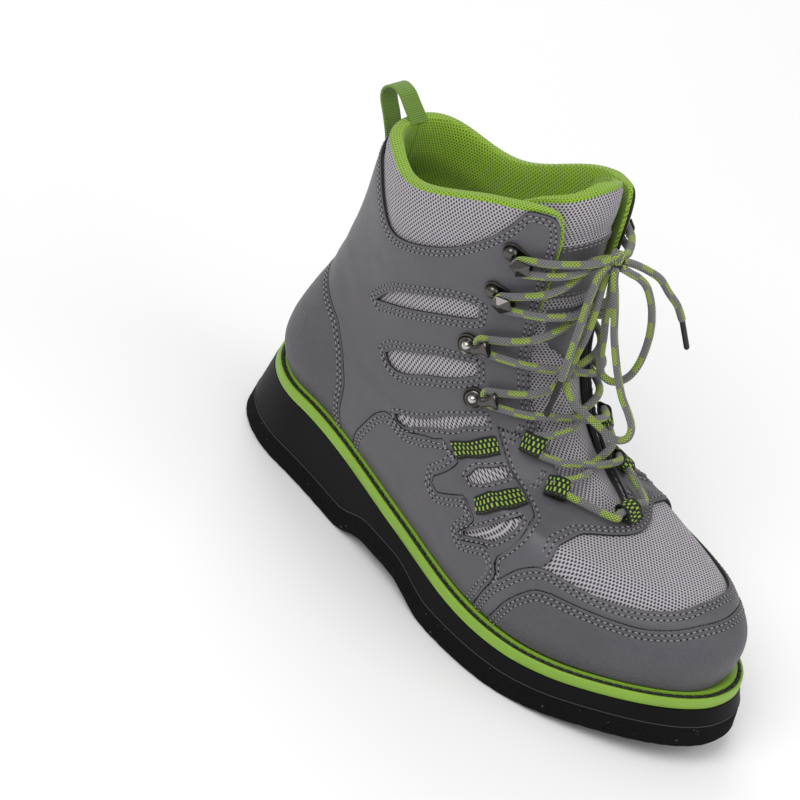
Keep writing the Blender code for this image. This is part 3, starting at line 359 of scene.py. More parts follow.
    def off(self, places: Any, height: Any) -> np.ndarray:
        """Points in millimetres at heights above the outer face.

        Args:
            places: (a, v) pairs.
            height: one height for all, or one a place.

        Returns:
            An array of points.
        """
        places = np.asarray(places, float).reshape(-1, 2)
        lift = np.broadcast_to(np.asarray(height, float), (len(places),))
        return self._sample(self.grid, places) + self.normal(places) * lift[:, None]

    def normal(self, places: Any) -> np.ndarray:
        """Outward normals at places."""
        return unit(self._sample(self.normals, np.asarray(places, float).reshape(-1, 2)))

    def scale(self, places: np.ndarray) -> np.ndarray:
        """Millimetres for each unit of a and of v at places."""
        return np.stack([self._sample(self.per_a, places), self._sample(self.per_v, places)], axis=1)

    def beside(self, line: Any, gap: float, closed: bool = False) -> np.ndarray:
        """A line moved sideways over the surface, to its left.

        Args:
            line: (a, v) pairs.
            gap: how far, in millimetres, minus for its right.
            closed: whether the line is a loop.

        Returns:
            The moved (a, v) pairs.
        """
        line = np.asarray(line, float)
        if closed:
            step = np.roll(line, -1, axis=0) - np.roll(line, 1, axis=0)
        else:
            step = np.gradient(line, axis=0)
        scale = self.scale(line)
        along = step * scale
        across = np.stack([-along[:, 1], along[:, 0]], axis=1)
        across /= np.linalg.norm(across, axis=1, keepdims=True) + 1e-9
        return line + across * gap / scale


BOOT = Last()
class Value:
    """An output socket that the usual signs work on, each adding one Math node to its tree."""

    def __init__(self, socket: bpy.types.NodeSocket) -> None:
        """Wrap an output socket."""
        self.socket = socket

    def apply(self, operation: str, *others: Any) -> "Value":
        """This value put first into a Math node of the kind named."""
        node = self.socket.id_data.nodes.new("ShaderNodeMath")
        node.operation = operation
        for place, other in zip(node.inputs, (self, *others)):
            plug(self.socket.id_data, other, place)
        return Value(node.outputs[0])

    def __add__(self, other: Any) -> "Value":
        """Sum."""
        return self.apply("ADD", other)

    def __sub__(self, other: Any) -> "Value":
        """Difference."""
        return self.apply("SUBTRACT", other)

    def __mul__(self, other: Any) -> "Value":
        """Product."""
        return self.apply("MULTIPLY", other)

    def __truediv__(self, other: Any) -> "Value":
        """Quotient."""
        return self.apply("DIVIDE", other)

    def __abs__(self) -> "Value":
        """Size without its sign."""
        return self.apply("ABSOLUTE")

    def fract(self) -> "Value":
        """Part after the whole number."""
        return self.apply("FRACT")

    def floor(self) -> "Value":
        """Whole number below."""
        return self.apply("FLOOR")

    def wave(self) -> "Value":
        """Size of the sine of this angle."""
        return abs(self.apply("SINE"))

    def odd(self) -> "Value":
        """1 where the whole number below is odd, otherwise 0."""
        return abs(self.floor()).apply("MODULO", 2.0)


def plug(tree: bpy.types.NodeTree, value: Any, socket: bpy.types.NodeSocket) -> None:
    """Link a value to an input, or set the input to it where it is a constant."""
    if isinstance(value, Value):
        tree.links.new(value.socket, socket)
    else:
        socket.default_value = value


class Group:
    """A shader node group for one effect, built once, with named inputs and outputs."""

    def __init__(self, name: str, inputs: dict[str, Any]) -> None:
        """Start the group.

        Args:
            name: the effect's name.
            inputs: default of each input, a number or a colour.
        """
        self.tree = bpy.data.node_groups.new(name, "ShaderNodeTree")
        for key, default in inputs.items():
            kind = "NodeSocketColor" if isinstance(default, tuple) else "NodeSocketFloat"
            self.tree.interface.new_socket(key, in_out="INPUT", socket_type=kind).default_value = default
        self.inputs = self.tree.nodes.new("NodeGroupInput")

    def given(self, name: str) -> Value:
        """What the group is given under a name."""
        return Value(self.inputs.outputs[name])

    def add(self, kind: str, settings: Optional[dict] = None, **inputs: Any) -> bpy.types.Node:
        """Add a node and fill its inputs.

        Args:
            kind: node type.
            settings: the node's own properties.
            inputs: a value or a constant for an input, by name or as i0, i1 and so on.

        Returns:
            The node.
        """
        node = self.tree.nodes.new(kind)
        for key, value in (settings or {}).items():
            setattr(node, key, value)
        for key, value in inputs.items():
            index = int(key[1:]) if key[0] == "i" and key[1:].isdigit() else key.replace("_", " ")
            plug(self.tree, value, node.inputs[index])
        return node

    def place(self) -> Value:
        """The place on the piece, in metres."""
        return Value(self.add("ShaderNodeTexCoord").outputs["Object"])

    def flat(self) -> tuple[Value, Value]:
        """U and V of the piece's Flat map."""
        split = self.add("ShaderNodeSeparateXYZ",
                         i0=Value(self.add("ShaderNodeUVMap", {"uv_map": "Flat"}).outputs[0]))
        return Value(split.outputs[0]), Value(split.outputs[1])

    def step(self, value: Value, low: Any, high: Any) -> Value:
        """Smooth step of a value from 0 at low to 1 at high."""
        return Value(self.add("ShaderNodeMapRange", {"interpolation_type": "SMOOTHSTEP"}, Value=value,
                              From_Min=low, From_Max=high).outputs[0])

    def blend(self, share: Any, first: Any, second: Any) -> Value:
        """Colour between two colours."""
        node = self.add("ShaderNodeMix", {"data_type": "RGBA"}, i0=share, i6=first, i7=second)
        return Value(node.outputs[2])

    def shade(self, tint: Value, share: float) -> Value:
        """A colour times a number."""
        node = self.add("ShaderNodeVectorMath", {"operation": "SCALE"}, i0=tint, Scale=share)
        return Value(node.outputs[0])

    def noise(self, place: Value, scale: Any, detail: float = 3.0, roughness: float = .5) -> Value:
        """Value of a noise texture."""
        return Value(self.add("ShaderNodeTexNoise", Vector=place, Scale=scale, Detail=detail,
                              Roughness=roughness).outputs[0])

    def bump(self, height: Value, depth: Any) -> Value:
        """Normal from a height between 0 and 1 that stands for a depth in metres."""
        return Value(self.add("ShaderNodeBump", Height=height, Distance=depth, Strength=1.0).outputs[0])

    def give(self, **outputs: Value) -> bpy.types.NodeTree:
        """Close the group with its outputs, named as the shader's inputs with underscores for spaces."""
        kinds = {"Base_Color": "Color", "Roughness": "Float", "Normal": "Vector"}
        end = self.tree.nodes.new("NodeGroupOutput")
        for key, value in outputs.items():
            name = key.replace("_", " ")
            self.tree.interface.new_socket(name, in_out="OUTPUT", socket_type="NodeSocket" + kinds[key])
            self.tree.links.new(value.socket, end.inputs[name])
        return self.tree


def colour(red: float, green: float, blue: float) -> tuple[float, float, float, float]:
    """Linear colour from screen values between 0 and 255."""
    def linear(value: float) -> float:
        """One channel."""
        value /= 255
        return value / 12.92 if value <= .04045 else ((value + .055) / 1.055) ** 2.4
    return linear(red), linear(green), linear(blue), 1.0


@dataclass(frozen=True)
class Finish:
    """A material: its name, its record slot, its plain Principled values, and one effect."""

    name: str
    slot: str
    tint: tuple
    roughness: float = .6
    metallic: float = 0.0
    specular: float = .5
    sheen: float = 0.0

    def effect(self) -> bpy.types.NodeTree:
        """The node group of this family of finishes, made anew."""
        raise NotImplementedError

    def given(self) -> dict[str, Any]:
        """What this finish puts into its group."""
        return {"Tint": self.tint}

    def make(self) -> bpy.types.Material:
        """The material, made on first use."""
        if self.name in bpy.data.materials:
            return bpy.data.materials[self.name]
        material = bpy.data.materials.new(self.name)
        material.use_nodes = True
        nodes = material.node_tree.nodes
        shader = nodes["Principled BSDF"]
        plain = {"Base Color": self.tint, "Roughness": self.roughness, "Metallic": self.metallic,
                 "Specular IOR Level": self.specular, "Sheen Weight": self.sheen}
        for name, value in plain.items():
            shader.inputs[name].default_value = value
        group = nodes.new("ShaderNodeGroup")
        group.node_tree = bpy.data.node_groups.get(type(self).__name__.lower()) or self.effect()
        for name, value in self.given().items():
            group.inputs[name].default_value = value
        for output in group.outputs:
            material.node_tree.links.new(output, shader.inputs[output.name])
        return material


@dataclass(frozen=True)
class Leather(Finish):
    """Synthetic leather with a pebbled grain, faint mottling and painted shade in the grain's hollows."""

    grain: float = 1500.0
    depth: float = .10
    coarse: float = 0.0

    def given(self) -> dict[str, Any]:
        """The tint, the gloss, and the grain's fineness, depth and share of broad folds."""
        return {"Tint": self.tint, "Gloss": self.roughness, "Grain": self.grain, "Depth": self.depth * MM,
                "Folds": .5 + self.coarse}

    def effect(self) -> bpy.types.NodeTree:
        """Grain from two cell sizes, mottled colour, painted shade in the hollows and uneven gloss."""
        group = Group("leather", self.given())
        place = group.place()
        tint = group.given("Tint")
        grain = group.given("Grain")
        cells = Value(group.add("ShaderNodeTexVoronoi", {"feature": "SMOOTH_F1"}, Vector=place,
                                Scale=grain).outputs["Distance"])
        pores = group.noise(place, grain * 2.2, 2.0)
        folds = group.noise(place, grain * .22, 4.0)
        height = cells * -1.0 + (pores * .4 + folds * group.given("Folds"))
        mottled = group.step(group.noise(place, 38.0, 5.0), .32, .70)
        base = group.blend(mottled, group.shade(tint, .93), group.shade(tint, 1.05))
        # Painted shade: where the cells' distance is high, in the grain's hollows, the colour is mixed up
        # to three tenths towards six tenths of the tint.
        base = group.blend(group.step(cells, .25, .75) * .30, base, group.shade(tint, .6))
        gloss = group.given("Gloss") - .06 + group.noise(place, 160.0) * .14
        normal = group.bump(height, group.given("Depth"))
        return group.give(Base_Color=base, Roughness=gloss, Normal=normal)


@dataclass(frozen=True)
class Holed(Finish):
    """Spacer mesh: staggered holes in rows, read from the piece's Flat map, in metres."""

    pitch_u: float = 2.05
    pitch_v: float = 1.55
    hole: float = .30
    # The holes' colour: painted shade standing in for the depth of holes that the sheet doesn't have.
    dark: tuple = (.03, .03, .03, 1.0)
    depth: float = .5

    def given(self) -> dict[str, Any]:
        """The yarn's colour and the holes' colour of painted shade, the holes' spacing and size, and the
        mesh's depth.
        """
        return {"Tint": self.tint, "Hole Shade": self.dark, "Pitch U": self.pitch_u * MM,
                "Pitch V": self.pitch_v * MM, "Hole": self.hole, "Depth": self.depth * MM}

    def effect(self) -> bpy.types.NodeTree:
        """Holes as staggered ellipses painted dark as the shade in them, with the yarn raised between
        them.
        """
        group = Group("holed", self.given())
        u, v = group.flat()
        tint = group.given("Tint")
        row = v / group.given("Pitch V")
        across = (u / group.given("Pitch U") + row.odd() * .5).fract() - .5
        up = (row.fract() - .5) * .72
        away = (across * across + up * up).apply("SQRT")
        yarn = group.step(away, group.given("Hole") - .10, group.given("Hole") + .07)
        place = group.place()
        fuzz = group.noise(place, 5200.0, 2.0)
        thread = group.blend(fuzz * .55, tint, group.shade(tint, .55))
        thread = group.blend(group.noise(place, 60.0) * .22, thread, group.shade(tint, .7))
        # Painted shade: the holes take the dark colour, and the yarn between them keeps its own.
        base = group.blend(yarn, group.given("Hole Shade"), thread)
        return group.give(Base_Color=base, Normal=group.bump(yarn + fuzz * .25, group.given("Depth")))


@dataclass(frozen=True)
class Webbing(Finish):
    """Black webbing with rows of raised lime dashes, read from its Flat map, in metres."""

    dash: tuple = (.34, .54, .06, 1.0)
    pitch: float = 2.2
    rows: float = 3.6
    border: float = .76

    def given(self) -> dict[str, Any]:
        """The ground's and the dashes' colours."""
        return {"Tint": self.tint, "Dash": self.dash}

    def effect(self) -> bpy.types.NodeTree:
        """Staggered dashes inside a plain border; V runs 0 to 1 across the width."""
        group = Group("webbing", self.given())
        u, v = group.flat()
        row = v * self.rows
        across = abs((u / (self.pitch * MM) + row.odd() * .5).fract() - .5)
        up = abs(row.fract() - .5)
        dash = group.step(across, .24, .17) * group.step(up, .42, .32)
        dash = dash * group.step(abs(v - .5), self.border / 2 + .02, self.border / 2 - .03)
        threads = group.noise(group.place(), 3800.0, 2.0)
        lime = group.blend(threads, group.given("Dash"), group.shade(group.given("Dash"), .55))
        base = group.blend(dash, group.given("Tint"), lime)
        return group.give(Base_Color=base, Normal=group.bump(dash * .7 + threads * .3, .35 * MM))


@dataclass(frozen=True)
class Braid(Finish):
    """Round braid: crossing strands with lime flecks, U along in metres and V around."""

    fleck: tuple = (.36, .50, .05, 1.0)
    pitch: float = 1.7
    strands: float = 8.0
    repeat: float = 21.0
    flecks: float = .46

    def given(self) -> dict[str, Any]:
        """The yarn's and the flecks' colours."""
        return {"Tint": self.tint, "Fleck": self.fleck}

    def effect(self) -> bpy.types.NodeTree:
        """Diagonal cells raised like yarns, lime in long flecks on alternating sides, and painted shade
        in the grooves between them.
        """
        group = Group("braid", self.given())
        u, v = group.flat()
        tint = group.given("Tint")
        along = u / (self.pitch * MM)
        around = v * self.strands
        first = along + around
        second = along - around
        ridge = (first * math.pi).wave() * (second * math.pi).wave()
        first = first.floor()
        second = second.floor()
        cell_u = (first + second) * (self.pitch / 2 / self.repeat)
        around = ((first - second) / (self.strands * 2) + 2.0).fract()
        turn = (cell_u + 64.0 + around.apply("GREATER_THAN", .5) * .5).fract()
        inside = abs((around * 2.0).fract() - .5)
        lime = turn.apply("LESS_THAN", self.flecks) * inside.apply("LESS_THAN", .40)
        fuzz = group.noise(group.place(), 4200.0, 2.0)
        base = group.blend(lime, group.blend(fuzz, tint, group.shade(tint, .62)), group.given("Fleck"))
        # Painted shade: where the ridge is low, in the grooves between the strands, the colour falls
        # towards a sixth of the tint.
        base = group.blend(group.step(ridge, .44, .04), base, group.shade(tint, .16))
        return group.give(Base_Color=base, Normal=group.bump(ridge + fuzz * .2, .45 * MM))


@dataclass(frozen=True)
class Ribbed(Finish):
    """Webbing with cross ribs; U runs along it in metres."""

    pitch: float = 1.15

    def effect(self) -> bpy.types.NodeTree:
        """Rounded ribs with painted shade between them, and a little random fuzz in the tone."""
        group = Group("ribbed", self.given())
        u, v = group.flat()
        tint = group.given("Tint")
        rib = (u * (math.pi / (self.pitch * MM))).wave()
        fuzz = group.noise(group.place(), 3600.0, 2.0)
        # Painted shade: the grooves between the ribs fall to .38 of the tint; the fuzz is a random tone.
        shade = group.step(rib, 0.0, .55) * (fuzz * .25 + .75)
        base = group.blend(shade, group.shade(tint, .38), tint)
        return group.give(Base_Color=base, Normal=group.bump(rib + (v * 75.0).wave() * .25, .3 * MM))


@dataclass(frozen=True)
class Felted(Finish):
    """Pressed felt: matted fibres, hollows, and sparse light specks."""

    speck: tuple = (.16, .16, .16, 1.0)

    def effect(self) -> bpy.types.NodeTree:
        """Fibres from stretched noise, clumps, and specks where two noises peak."""
        group = Group("felted", self.given())
        place = group.place()
        warp = Value(group.add("ShaderNodeTexNoise", Vector=place, Scale=240.0, Detail=3.0).outputs[1])
        moved = Value(group.add("ShaderNodeVectorMath", {"operation": "MULTIPLY_ADD"}, i0=warp,
                                i1=(.006, .006, .006), i2=place).outputs[0])
        fibres = group.noise(moved, 1500.0, 5.0, .7)
        cells = group.add("ShaderNodeTexVoronoi", Vector=moved, Scale=620.0)
        tone = Value(group.add("ShaderNodeSeparateColor", i0=Value(cells.outputs["Color"])).outputs[0])
        middle = group.step(Value(cells.outputs["Distance"]), .26, .12)
        chosen = tone.apply("GREATER_THAN", .972) * middle
        tint = group.given("Tint")
        base = group.blend(group.step(fibres, .38, .72), tint, group.shade(tint, 3.4))
        base = group.blend(chosen, base, self.speck)
        height = fibres + group.noise(place, 190.0, 4.0) * 1.1
        return group.give(Base_Color=base, Normal=group.bump(height, .9 * MM))


@dataclass(frozen=True)
class Smooth(Finish):
    """Moulded or cast surface with faint unevenness and handling marks."""

    uneven: float = .05
    scale: float = 900.0

    def given(self) -> dict[str, Any]:
        """The tint, the gloss, and the unevenness's fineness and depth."""
        return {"Tint": self.tint, "Gloss": self.roughness, "Scale": self.scale,
                "Depth": self.uneven * MM}

    def effect(self) -> bpy.types.NodeTree:
        """Slight bump and gloss variation."""
        group = Group("smooth", self.given())
        place = group.place()
        tint = group.given("Tint")
        fine = group.noise(place, group.given("Scale"), 4.0)
        broad = group.noise(place, 45.0, 4.0)
        base = group.blend(broad, group.shade(tint, .82), group.shade(tint, 1.08))
        gloss = group.given("Gloss") - .05 + broad * .14
        normal = group.bump(fine, group.given("Depth"))
        return group.give(Base_Color=base, Roughness=gloss, Normal=normal)


class Look(Enum):
    """The finishes that the boot's pieces choose from."""

    LEATHER = Leather("fine_leather", "leather", colour(83, 81, 86), .48, sheen=.04)
    TOE_LEATHER = Leather("pebbled_leather", "toe_leather", colour(78, 76, 81), .50, grain=900.0,
                          depth=.42, coarse=.2)
    EDGE = Smooth("cut_edge", "leather", colour(27, 26, 28), .8, uneven=.15)
    MESH = Holed("spacer_mesh_grey", "spacer_mesh", colour(190, 184, 192), .85, sheen=.15, hole=.29)
    # The lining's holes are a darker lime: painted shade in the holes.
    LINING = Holed("lining_lime", "spacer_mesh", colour(150, 190, 44), .85, pitch_u=1.9, pitch_v=1.5,
                   hole=.25, dark=colour(78, 112, 16), sheen=.15, depth=.4)
    GUSSET = Smooth("gusset_black", "spacer_mesh", colour(24, 23, 26), .85, sheen=.2, uneven=.3,
                    scale=2400.0)
    THREAD = Smooth("thread_grey", "leather", colour(142, 140, 144), .7, uneven=.2, scale=3000.0)
    # Painted shade: the needle holes and the welt's stitch holes are dark balls that stand for the shade
    # in them.
    HOLE = Smooth("needle_hole", "leather", colour(20, 19, 21), .95)
    WEBBING = Webbing("lime_dash_webbing", "webbing", colour(13, 14, 11), .8)
    PULL = Ribbed("ribbed_webbing", "pull_webbing", colour(108, 146, 34), .78, sheen=.2)
    LACE = Braid("lace_braid_grey", "lace_braid", colour(142, 141, 143), .82, sheen=.2)
    AGLET = Smooth("aglet_black", "aglet_plastic", colour(26, 26, 27), .42)
    METAL = Smooth("gunmetal", "hook_metal", colour(92, 89, 87), .20, metallic=1.0, uneven=.02)
    METAL_DARK = Smooth("gunmetal_dark", "hook_metal", colour(98, 96, 94), .27, metallic=1.0, uneven=.03)
    METAL_BRIGHT = Smooth("polished_rivet", "hook_metal", colour(196, 193, 190), .24, metallic=1.0,
                          uneven=.02)
    FELT = Felted("felt_black", "felt", (.0038, .0038, .0042, 1.0), .95, specular=.1)
    RUBBER = Smooth("midsole_black", "midsole_rubber", (.003, .003, .0033, 1.0), .5, specular=.12,
                    uneven=.05)
    GLUE = Smooth("glue_line", "midsole_rubber", colour(48, 48, 50), .6, uneven=.3)
    WELT = Smooth("welt_lime_rubber", "welt_lime", colour(128, 168, 50), .45, uneven=.05)
    STITCH = Smooth("lock_stitch_black", "welt_lime", colour(20, 20, 21), .6, uneven=.3, scale=2600.0)
    BOARD = Holed("insole_fabric", "insole_cloth", colour(60, 60, 62), .9, hole=.2)


def finish_piece(name: str, bm: bmesh.types.BMesh, looks: Sequence[Look], replaces: Sequence[str] = (),
                 smooth_angle: float = 45.0) -> bpy.types.Object:
    """Turn a bmesh in metres into a dressed piece that rides on the boot.

    Args:
        name: the piece's name.
        bm: its shape, freed here.
        looks: one finish for each material index.
        replaces: CAD nodes that it stands for.
        smooth_angle: edges sharper than this many degrees stay sharp.

    Returns:
        The new object.
    """
    mesh = bpy.data.meshes.new(name)
    bm.to_mesh(mesh)
    bm.free()
    for look in looks:
        mesh.materials.append(look.value.make())
    mesh.shade_smooth()
    mesh.set_sharp_from_angle(angle=math.radians(smooth_angle))
    piece = bpy.data.objects.new(name, mesh)
    bpy.context.scene.collection.objects.link(piece)
    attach(piece, "root")
    if replaces:
        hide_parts(*replaces)
    LOG.info("%s: %d faces", name, len(mesh.polygons))
    return piece




class Sheet:
    """A sheet cut to an outline in (a, v), with points close along its edges."""

    flat_scale = (380.0, 190.0)
    corner_angle = 68.0

    def __init__(self, loops: Sequence[Any], lines: Sequence[Any] = (), edges: Optional[Sequence] = None,
                 rings: Sequence[float] = (.6, 1.5, 2.3, 3.4, 4.5, 6.0), spacing: float = 2.7) -> None:
        """Fill the outline with a fine net.

        Args:
            loops: the outline, then its holes, smooth and closed.
            lines: open lines that the net follows, for a change of finish.
            edges: (line, closed, sign) for the edges that get rings, the loops if none are given.
            rings: distances in millimetres from an edge at which the net has points.
            spacing: distance between the net's other points, in millimetres.
        """
        loops = [self.turned(loop) for loop in loops]
        if edges is None:
            edges = [(loop, True, -1.0 if index else 1.0) for index, loop in enumerate(loops)]
        tree = self.tree_of([edge[0] for edge in edges])
        points = []
        faces = []
        links = []
        for loop in loops:
            faces.append(list(range(len(points), len(points) + len(loop))))
            points += [tuple(place) for place in loop]
        for line in lines:
            links += [(len(points) + k, len(points) + k + 1) for k in range(len(line) - 1)]
            points += [tuple(place) for place in line]
        for line, closed, sign in edges:
            for ring in rings:
                moved = BOOT.beside(line, sign * ring, closed)
                points += [tuple(p) for p, d in zip(moved, self.distances(tree, moved)) if d > ring * .85]
        low = np.min(loops[0], axis=0)
        high = np.max(loops[0], axis=0)
        count = np.ceil((high - low) * self.flat_scale / spacing).astype(int) + 1
        rows = [(low[0] + (i + .5 * (j % 2)) / count[0] * (high[0] - low[0]),
                 low[1] + j / count[1] * (high[1] - low[1]))
                for j in range(1, count[1]) for i in range(1, count[0])]
        far = self.distances(tree, np.array(rows)) if rows else []
        points += [p for p, d in zip(rows, far) if d > rings[-1] + spacing * .5]
        flat = [Vector((p[0] * self.flat_scale[0], p[1] * self.flat_scale[1])) for p in points]
        cut = geometry.delaunay_2d_cdt(flat, links, faces, 1, 1e-4)
        self.places = np.array([(p.x / self.flat_scale[0], p.y / self.flat_scale[1]) for p in cut[0]])
        self.faces = [face for face, sources in zip(cut[2], cut[5]) if list(sources) == [0]]
        self.away = np.array(self.distances(tree, self.places))

    @staticmethod
    def turned(loop: Any) -> np.ndarray:
        """The loop, turned to run counter-clockwise."""
        loop = np.asarray(loop, float)
        after = np.roll(loop, -1, axis=0)
        area = np.sum(loop[:, 0] * after[:, 1] - after[:, 0] * loop[:, 1])
        return loop[::-1] if area < 0 else loop

    @staticmethod
    def tree_of(lines: Sequence[Any]) -> kdtree.KDTree:
        """Search tree of the lines' points in space."""
        points = np.concatenate([BOOT.off(line, 0.0) for line in lines])
        tree = kdtree.KDTree(len(points))
        for index, point in enumerate(points):
            tree.insert(point, index)
        tree.balance()
        return tree

    @staticmethod
    def distances(tree: kdtree.KDTree, places: np.ndarray) -> list[float]:
        """Distance in millimetres from each place to the tree's nearest point."""
        return [tree.find(point)[2] for point in BOOT.off(places, 0.0)]

    @classmethod
    def smooth(cls, line: Line, closed: bool = False, step: float = 2.2) -> np.ndarray:
        """A line of given places made smooth, with its sharp corners kept.

        Args:
            line: (a, v) pairs.
            closed: whether it is a loop.
            step: distance between the new points, in millimetres.

        Returns:
            More (a, v) pairs on the same line.
        """
        points = np.asarray(line, float)
        scale = np.array(cls.flat_scale)
        count = len(points)
        sharp = []
        for k in range(count):
            back = (points[k] - points[k - 1]) * scale
            ahead = (points[(k + 1) % count] - points[k]) * scale
            spans = np.linalg.norm(back) * np.linalg.norm(ahead) + 1e-9
            turn = np.degrees(np.arccos(np.clip(back @ ahead / spans, -1, 1)))
            sharp.append(turn > cls.corner_angle or (not closed and k in (0, count - 1)))
        found = []
        for k in range(count if closed else count - 1):
            p1 = points[k]
            p2 = points[(k + 1) % count]
            run = np.linalg.norm((p2 - p1) * scale) + 1e-9
            p0 = 2 * p1 - p2
            p3 = 2 * p2 - p1
            if not sharp[k]:
                back = points[k - 1] - p1
                p0 = p1 + back * min(1.0, run / (np.linalg.norm(back * scale) + 1e-9))
            if not sharp[(k + 1) % count]:
                ahead = points[(k + 2) % count] - p2
                p3 = p2 + ahead * min(1.0, run / (np.linalg.norm(ahead * scale) + 1e-9))
            pieces = max(1, round(run / step))
            found += [curve_through(p0, p1, p2, p3, i / pieces) for i in range(pieces)]
        if not closed:
            found.append(points[-1])
        return np.array(found)


def flat_map(places: np.ndarray, points: np.ndarray) -> dict[str, np.ndarray]:
    """Weave coordinates in metres: one set for the vamp and one for the sides.

    Args:
        places: (a, v) pairs.
        points: the same places in millimetres.

    Returns:
        Coordinates under "vamp" and "side".
    """
    vamp = np.stack([points[:, 1], -points[:, 0] * 1.04 + points[:, 2] * .38], axis=1) * MM
    arc_a = np.linspace(-1, 1, BOOT.columns + 1)
    level = np.full_like(arc_a, .80)
    arc = np.cumsum(BOOT.scale(np.stack([arc_a, level], axis=1))[:, 0]) * (2 / BOOT.columns)
    side = np.stack([np.interp(places[:, 0], arc_a, arc), points[:, 2]], axis=1) * MM
    return {"vamp": vamp, "side": side}


def shell(name: str, sheet: Sheet, under: np.ndarray, over: np.ndarray, looks: Sequence[Look],
          replaces: Sequence[str] = (), choose: Optional[Callable] = None,
          rim: Optional[tuple] = None, lined: Optional[Callable] = None) -> bpy.types.Object:
    """A closed shell between two heights over a sheet.

    Args:
        name: the piece's name.
        sheet: the cut sheet.
        under: height of the lower face at each place.
        over: height of the upper face at each place.
        looks: finishes of the upper face, the walls and the lower face, then any others.
        replaces: CAD nodes it stands for.
        choose: gives the finish's index for an upper face from its middle (a, v) and distance.
        rim: bevel width in millimetres and the test for the border edges that get it.
        lined: gives the index for a wall or lower face from its middle (a, v) and whether it is a wall.

    Returns:
        The new piece.
    """
    bm = bmesh.new()
    verts = [bm.verts.new((a, v, 0.0)) for a, v in sheet.places]
    for face in sheet.faces:
        bm.faces.new([verts[k] for k in face])
    for vert in [v for v in bm.verts if not v.link_faces]:
        bm.verts.remove(vert)
    bm.verts.index_update()
    places = np.array([v.co[:2] for v in bm.verts])
    kept = [k for k, v in enumerate(verts) if v.is_valid]
    under = np.asarray(under)[kept]
    over = np.asarray(over)[kept]
    away = sheet.away[kept]
    skin = bm.verts[:]
    flat = bm.loops.layers.uv.new("Flat")
    lower = bm.faces[:]
    grown = bmesh.ops.extrude_face_region(bm, geom=lower, use_keep_orig=True)["geom"]
    tops = [g for g in grown if isinstance(g, bmesh.types.BMFace)]
    raised = [g for g in grown if isinstance(g, bmesh.types.BMVert)]
    index_of = {vert: k for k, vert in enumerate(skin)}
    key = {tuple(vert.co): k for k, vert in enumerate(skin)}
    for vert in raised:
        index_of[vert] = key[tuple(vert.co)]
    low_points = BOOT.off(places, under)
    high_points = BOOT.off(places, over)
    maps = flat_map(places, high_points)
    for face in tops:
        middle = places[[index_of[v] for v in face.verts]].mean(axis=0)
        edge = float(np.mean(away[[index_of[v] for v in face.verts]]))
        face.material_index = choose(middle, edge) if choose else 0
        zone = maps["vamp" if abs(middle[0]) < .335 and middle[1] < .52 else "side"]
        for loop in face.loops:
            loop[flat].uv = zone[index_of[loop.vert]]
    top_set = set(tops)
    low_verts = set(skin)
    low_set = set(lower)
    for face in bm.faces:
        if face in top_set:
            continue
        wall = face not in low_set
        middle = places[[index_of[v] for v in face.verts]].mean(axis=0)
        face.material_index = lined(middle, wall) if lined else 2 - wall
        for loop in face.loops:
            k = index_of[loop.vert]
            deeper = (over[k] - under[k]) * MM if wall and loop.vert in low_verts else 0.0
            loop[flat].uv = maps["side"][k] + np.array((0.0, deeper))
    rim_edges = []
    if rim is not None:
        for edge in bm.edges:
            kinds = {face in top_set or face in low_set for face in edge.link_faces}
            if len(kinds) == 2 and rim[1](*np.mean([places[index_of[v]] for v in edge.verts], axis=0)):
                rim_edges.append(edge)
    for vert in skin:
        vert.co = metres(low_points[index_of[vert]])[0]
    for vert in raised:
        vert.co = metres(high_points[index_of[vert]])[0]
    bmesh.ops.remove_doubles(bm, verts=bm.verts[:], dist=2e-5)
    same = {}
    for face in bm.faces:
        same.setdefault(frozenset(face.verts), []).append(face)
    inner = [face for group in same.values() if len(group) > 1 for face in group]
    LOG.info("%s: %d inner walls at the back seam", name, len(inner))
    bmesh.ops.delete(bm, geom=inner, context="FACES")
    if rim is not None:
        rim_edges = [edge for edge in rim_edges if edge.is_valid]
        bmesh.ops.bevel(bm, geom=rim_edges, offset=rim[0] * MM, affect="EDGES", segments=3, profile=.5,
                        material=-1, clamp_overlap=True)
    bmesh.ops.recalc_face_normals(bm, faces=bm.faces[:])
    return finish_piece(name, bm, looks, replaces)


